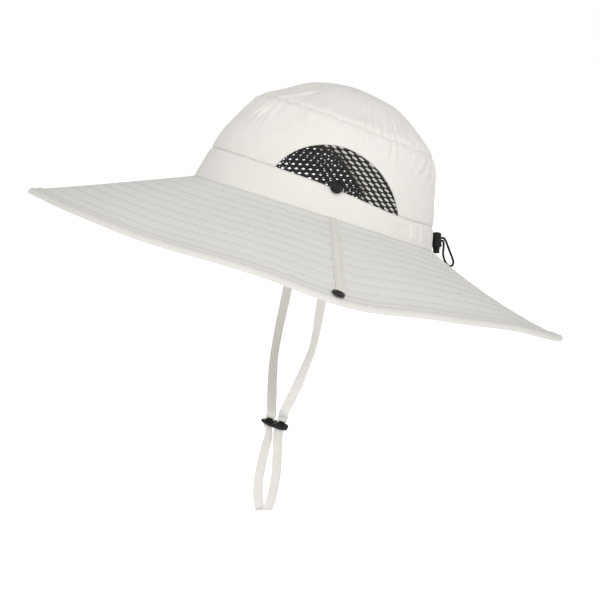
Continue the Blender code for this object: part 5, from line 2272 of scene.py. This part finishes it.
    def build(self) -> None:
        """Builds and dresses the strap and its slider."""
        left, right = (self.ribbon(side) for side in Side)
        self.wardrobe.dress(left, STRAP_WEBBING, Slot.WEBBING, "chin_strap")
        self.wardrobe.dress(right, STRAP_WEBBING, Slot.WEBBING, "chin_strap")
        self.seamstress.sew("strap_tack", self.tack(), Slot.WEBBING)
        self.wardrobe.dress(self.slider(), BLACK_ACETAL, Slot.PLASTIC, "strap_slider")


# Draw cord and lock

# The cord's free run in the upright middle plane: back and up from where it leaves the crown
CORD_ROUTE = (
    (0.0107, 0.00115), (0.0122, 0.0010), (0.0136, -0.0006), (0.0148, -0.0032), (0.0165, -0.0076),
    (0.0181, -0.0118), (0.0197, -0.0157), (0.0206, -0.0190), (0.0200, -0.0215), (0.0181, -0.0226),
    (0.0160, -0.0217), (0.0140, -0.0193), (0.0124, -0.0155), (0.0118, -0.0118), (0.0121, -0.0075),
    (0.0122, -0.0042), (0.0118, -0.0020), (0.0107, -0.00115),
)


@dataclass
class DrawCord:
    """The elastic draw cord's free loop at the back, and the spring lock that it runs through."""

    crown: CrownForm
    wardrobe: Wardrobe
    diameter: float = 0.0019
    gap: float = 0.0004
    standoff: float = 0.0014
    exit_rise: float = 0.0090
    bore: float = 0.0035
    wall: float = 0.0010
    sill: float = 0.0040
    slot_clearance: float = 0.0003
    running_gap: float = 0.00025
    travel: float = 0.0016
    bridge: float = 0.0008
    plunger_out: float = 0.0052
    lip: float = 0.0010
    spare: float = 0.0002
    cord_sides: int = 16
    braid_pitch: float = 0.0014
    shell_bevel: float = 0.00015

    def exit(self) -> Array:
        """Where the cord leaves the band's back."""
        level = self.crown.level_at(self.exit_rise)
        return tipped(self.crown.plain(np.array([math.pi / 2.0]), np.array([level])))[0]

    def route(self) -> Array:
        """The cord's free run.

        Returns:
            Points out through the lock, round the loop and back.
        """
        half = CORD_ROUTE[0][1]
        flat = [(self.gap, half), (self.gap + self.standoff, half), *CORD_ROUTE]
        flat += [(self.gap + self.standoff, -half), (self.gap, -half)]
        return np.array([self.exit() + [0.0, back, up] for back, up in flat])

    def cord(self) -> Piece:
        """Makes and dresses the cord.

        Returns:
            A tube with a braid of raised strands.
        """
        path = even_path(smooth_path(self.route(), 12), 0.00035)
        tangents = unit(np.gradient(path, axis=0))
        run = run_along(path)
        sides, corners, uv = self.cord_sides, [], []
        aside = np.array([1.0, 0.0, 0.0])
        for number, (spot, tangent) in enumerate(zip(path, tangents)):
            other = np.cross(tangent, aside)
            for step in range(sides):
                turn = 2.0 * math.pi * step / sides
                left = math.sin(4.0 * turn + 2.0 * math.pi * run[number] / self.braid_pitch)
                right = math.sin(4.0 * turn - 2.0 * math.pi * run[number] / self.braid_pitch)
                radius = 0.5 * self.diameter * (0.965 + 0.045 * left * right)
                corners.append(spot + (aside * math.cos(turn) + other * math.sin(turn)) * radius)
                uv.append((run[number], 0.5 * self.diameter * turn))
        piece = make_mesh("draw_cord_braid", np.array(corners), tube_faces(len(path), sides), np.array(uv))
        face_out(piece)
        self.wardrobe.dress(piece, ELASTIC_SLEEVE, Slot.CORD, "draw_cord")
        return piece

    def half_slot(self) -> float:
        """Half the height of the slot that the cord's two strands pass."""
        return CORD_ROUTE[0][1] + self.diameter / 2.0 + self.slot_clearance

    def levels(self) -> tuple[float, float, float, float]:
        """Heights of the lock's faces over its middle.

        Returns:
            The plunger's top, the barrel's inner top, its outer top and its bottom.
        """
        plunger_top = self.half_slot() + self.bridge
        cavity_top = plunger_top + self.travel + self.spare
        return plunger_top, cavity_top, cavity_top + self.wall, -self.half_slot() - self.sill

    def shell(self) -> list[tuple[float, float]]:
        """The barrel's half section.

        Returns:
            Radius and height of each corner: a domed top, a waist at the slot and an open foot.
        """
        wall, half = self.wall, self.half_slot()
        outer = self.bore + wall
        _, cavity_top, top, bottom = self.levels()
        corners = [(0.0, top + wall * 0.2), (outer * 0.45, top), (outer * 0.80, top - wall * 0.7)]
        corners += [(outer, top - wall * 2.0), (outer, half + 0.0012), (outer * 0.93, half + 0.0009)]
        corners += [(outer * 0.93, -half - 0.0009), (outer, -half - 0.0012), (outer, bottom + wall * 0.6)]
        corners += [(outer - wall * 0.4, bottom), (self.bore, bottom)]
        corners += [(self.bore, cavity_top), (0.0, cavity_top)]
        return rounded(corners, 0.0003)

    def button(self) -> list[tuple[float, float]]:
        """The plunger's half section.

        Returns:
            Radius and height of each corner: a shaft, and a button with a lip under the barrel.
        """
        plunger_top, _, _, bottom = self.levels()
        shaft, lip, end = self.bore - self.running_gap, self.lip, bottom - self.plunger_out
        corners = [(0.0, plunger_top), (shaft, plunger_top), (shaft, bottom + 0.0004)]
        corners += [(shaft * 0.84, bottom - self.travel - 0.0004), (shaft * 0.80, end + lip * 1.8)]
        corners += [(shaft * 0.86, end + lip * 1.4), (shaft * 0.86, end + lip * 0.5)]
        corners += [(shaft * 0.62, end), (shaft * 0.3, end), (0.0, end + 0.0001)]
        return rounded(corners, 0.00022)

    def lock(self) -> list[Piece]:
        """Makes and dresses the lock.

        Returns:
            Its barrel and its plunger, both slotted for the cord.
        """
        outer, tall = self.bore + self.wall, 2.0 * self.half_slot()
        middle = self.exit() + [0.0, self.standoff + outer, 0.0]
        place = Matrix.Translation(Vector(middle))
        width = self.diameter + 2.0 * self.slot_clearance
        # The plunger's slot is longer by the travel, so that the cord's strands stay free in it
        low, high = -self.travel / 2.0, tall + self.travel
        pieces = []
        for name, node, profile, lift, height, body in (
            ("lock_barrel_shell", "cord_lock_barrel", self.shell(), 0.0, tall, BODY),
            ("lock_plunger_button", "cord_lock_plunger", self.button(), low, high, "plunger"),
        ):
            piece = turned(name, profile, 64, place)
            face_out(piece)
            slot = block((width, 4.0 * outer, height), Vector(middle) + Vector((0.0, 0.0, lift)))
            carved(piece, [(slot, "DIFFERENCE")], self.shell_bevel, 45.0)
            pieces.append(self.wardrobe.dress(piece, BLACK_ACETAL, Slot.PLASTIC, node, body=body))
        return pieces

    def build(self) -> None:
        cord, lock = self.cord(), self.lock()
        path = even_path(smooth_path(self.route(), 12), 0.001)


# The studio


@dataclass
class Studio:
    """Camera, floor and lights.

    Floor and sky light the hat by floor_light and sky_light, and the camera sees them brighter, as the
    white ground of the picture.
    """

    azimuth: float = math.radians(78.5)
    elevation: float = math.radians(5.0)
    distance: float = 2.05
    pixels_per_metre: float = 1216.0
    frame_pixels: float = 600.0
    origin_pixel: tuple[float, float] = (313.7, 213.7)
    floor_height: float = -0.262
    sky_light: float = 0.58
    floor_light: float = 0.38
    floor_seen: float = 0.60
    sensor: float = 36.0
    aim_height: float = -0.03

    def camera(self) -> None:
        """The photograph's view, with the hat's origin on its own pixel of the picture."""
        sine, cosine = math.sin(self.azimuth), math.cos(self.azimuth)
        level = math.cos(self.elevation)
        back = Vector((sine * level, -cosine * level, math.sin(self.elevation)))
        right = Vector((cosine, sine, 0.0))
        up = back.cross(right)
        half = self.frame_pixels / 2.0
        aside = (self.origin_pixel[0] - half) / self.pixels_per_metre
        over = (half - self.origin_pixel[1]) / self.pixels_per_metre
        target = right * -aside - up * over
        lens = bpy.data.cameras.new("camera")
        lens.sensor_width = self.sensor
        lens.lens = self.pixels_per_metre * self.distance * self.sensor / self.frame_pixels
        lens.clip_start, lens.clip_end = 0.05, 100.0
        camera = bpy.data.objects.new("camera", lens)
        camera.location = target + back * self.distance
        camera.rotation_euler = (-back).to_track_quat("-Z", "Y").to_euler()
        bpy.context.scene.collection.objects.link(camera)
        bpy.context.scene.camera = camera

    def lamp(self, name: str, place: Corner, size: float, watts: float) -> None:
        """Sets a soft square light that points at the hat.

        Args:
            name: Its name.
            place: Where it stands.
            size: Its width and height.
            watts: Its power.
        """
        light = bpy.data.lights.new(name, "AREA")
        light.shape = "SQUARE"
        light.size = size
        light.energy = watts
        made = bpy.data.objects.new(name, light)
        made.location = place
        aim = Vector((0.0, 0.0, self.aim_height)) - Vector(place)
        made.rotation_euler = aim.to_track_quat("-Z", "Y").to_euler()
        bpy.context.scene.collection.objects.link(made)

    def floor(self) -> None:
        """A plain pale floor under the hanging strap."""
        half = 8.0
        floor = make_mesh(
            "floor",
            np.array([(-half, -half, 0.0), (half, -half, 0.0), (half, half, 0.0), (-half, half, 0.0)])
            + [0.0, 0.0, self.floor_height],
            [(0, 1, 2, 3)],
        )
        paint = bpy.data.materials.new("matt_white_floor")
        paint.use_nodes = True
        shader = paint.node_tree.nodes["Principled BSDF"]
        shader.inputs["Base Color"].default_value = linear("fbfbfb")
        shader.inputs["Roughness"].default_value = 0.9
        shader.inputs["Specular IOR Level"].default_value = 0.0
        shader.inputs["Emission Color"].default_value = (1.0, 1.0, 1.0, 1.0)
        seen = add_node(paint.node_tree, "ShaderNodeLightPath").outputs["Is Camera Ray"]
        glow = add_node(
            paint.node_tree, "ShaderNodeMapRange",
            inputs={"Value": seen, 3: self.floor_light, 4: self.floor_seen},
        )
        paint.node_tree.links.new(glow.outputs[0], shader.inputs["Emission Strength"])
        floor.data.materials.append(paint)

    def build(self) -> None:
        """Sets up floor and lights."""
        self.floor()
        world = bpy.data.worlds.new("white_studio")
        world.use_nodes = True
        tree = world.node_tree
        seen = add_node(tree, "ShaderNodeLightPath").outputs["Is Camera Ray"]
        strength = add_node(tree, "ShaderNodeMapRange", inputs={"Value": seen, 3: self.sky_light, 4: 1.0})
        sky = tree.nodes["Background"]
        sky.inputs["Color"].default_value = (1.0, 1.0, 1.0, 1.0)
        tree.links.new(strength.outputs[0], sky.inputs["Strength"])
        bpy.context.scene.world = world
        bpy.context.scene.view_settings.view_transform = "Standard"
        self.lamp("key_from_camera_side", (2.0, -0.3, 1.25), 1.1, 20.0)
        self.lamp("fill_from_front", (0.9, -2.3, 0.4), 1.2, 0.7)


def main() -> None:
    """Builds the hat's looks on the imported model."""
    logging.basicConfig(level=logging.INFO, format="%(message)s")
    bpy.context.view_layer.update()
    studio = Studio()
    studio.camera()
    wardrobe, repeats = Wardrobe(), Repeats()
    seamstress = Seamstress(wardrobe, repeats)
    crown_form = CrownForm()
    brim_form = BrimForm(crown_form)
    DrawCord(crown_form, wardrobe).build()
    Crown(crown_form, wardrobe).build()
    for side in Side:
        WindowNet(crown_form, wardrobe, repeats, side).build()
    Brim(brim_form, wardrobe, seamstress).build()
    for side in Side:
        on_brim, on_crown = stud_places(crown_form, brim_form, side)
        for panel, place, heights in (("brim", on_brim, BRIM_STUD), ("crown", on_crown, CROWN_STUD)):
            name, node = f"{panel}_stud_moulding_{side.label}", f"{panel}_stud_{side.label}"
            PressStud(wardrobe, name, node, place, **heights).build()
    ChinStrap(crown_form, wardrobe, seamstress).build()
    studio.build()


if __name__ == "__main__":
    main()
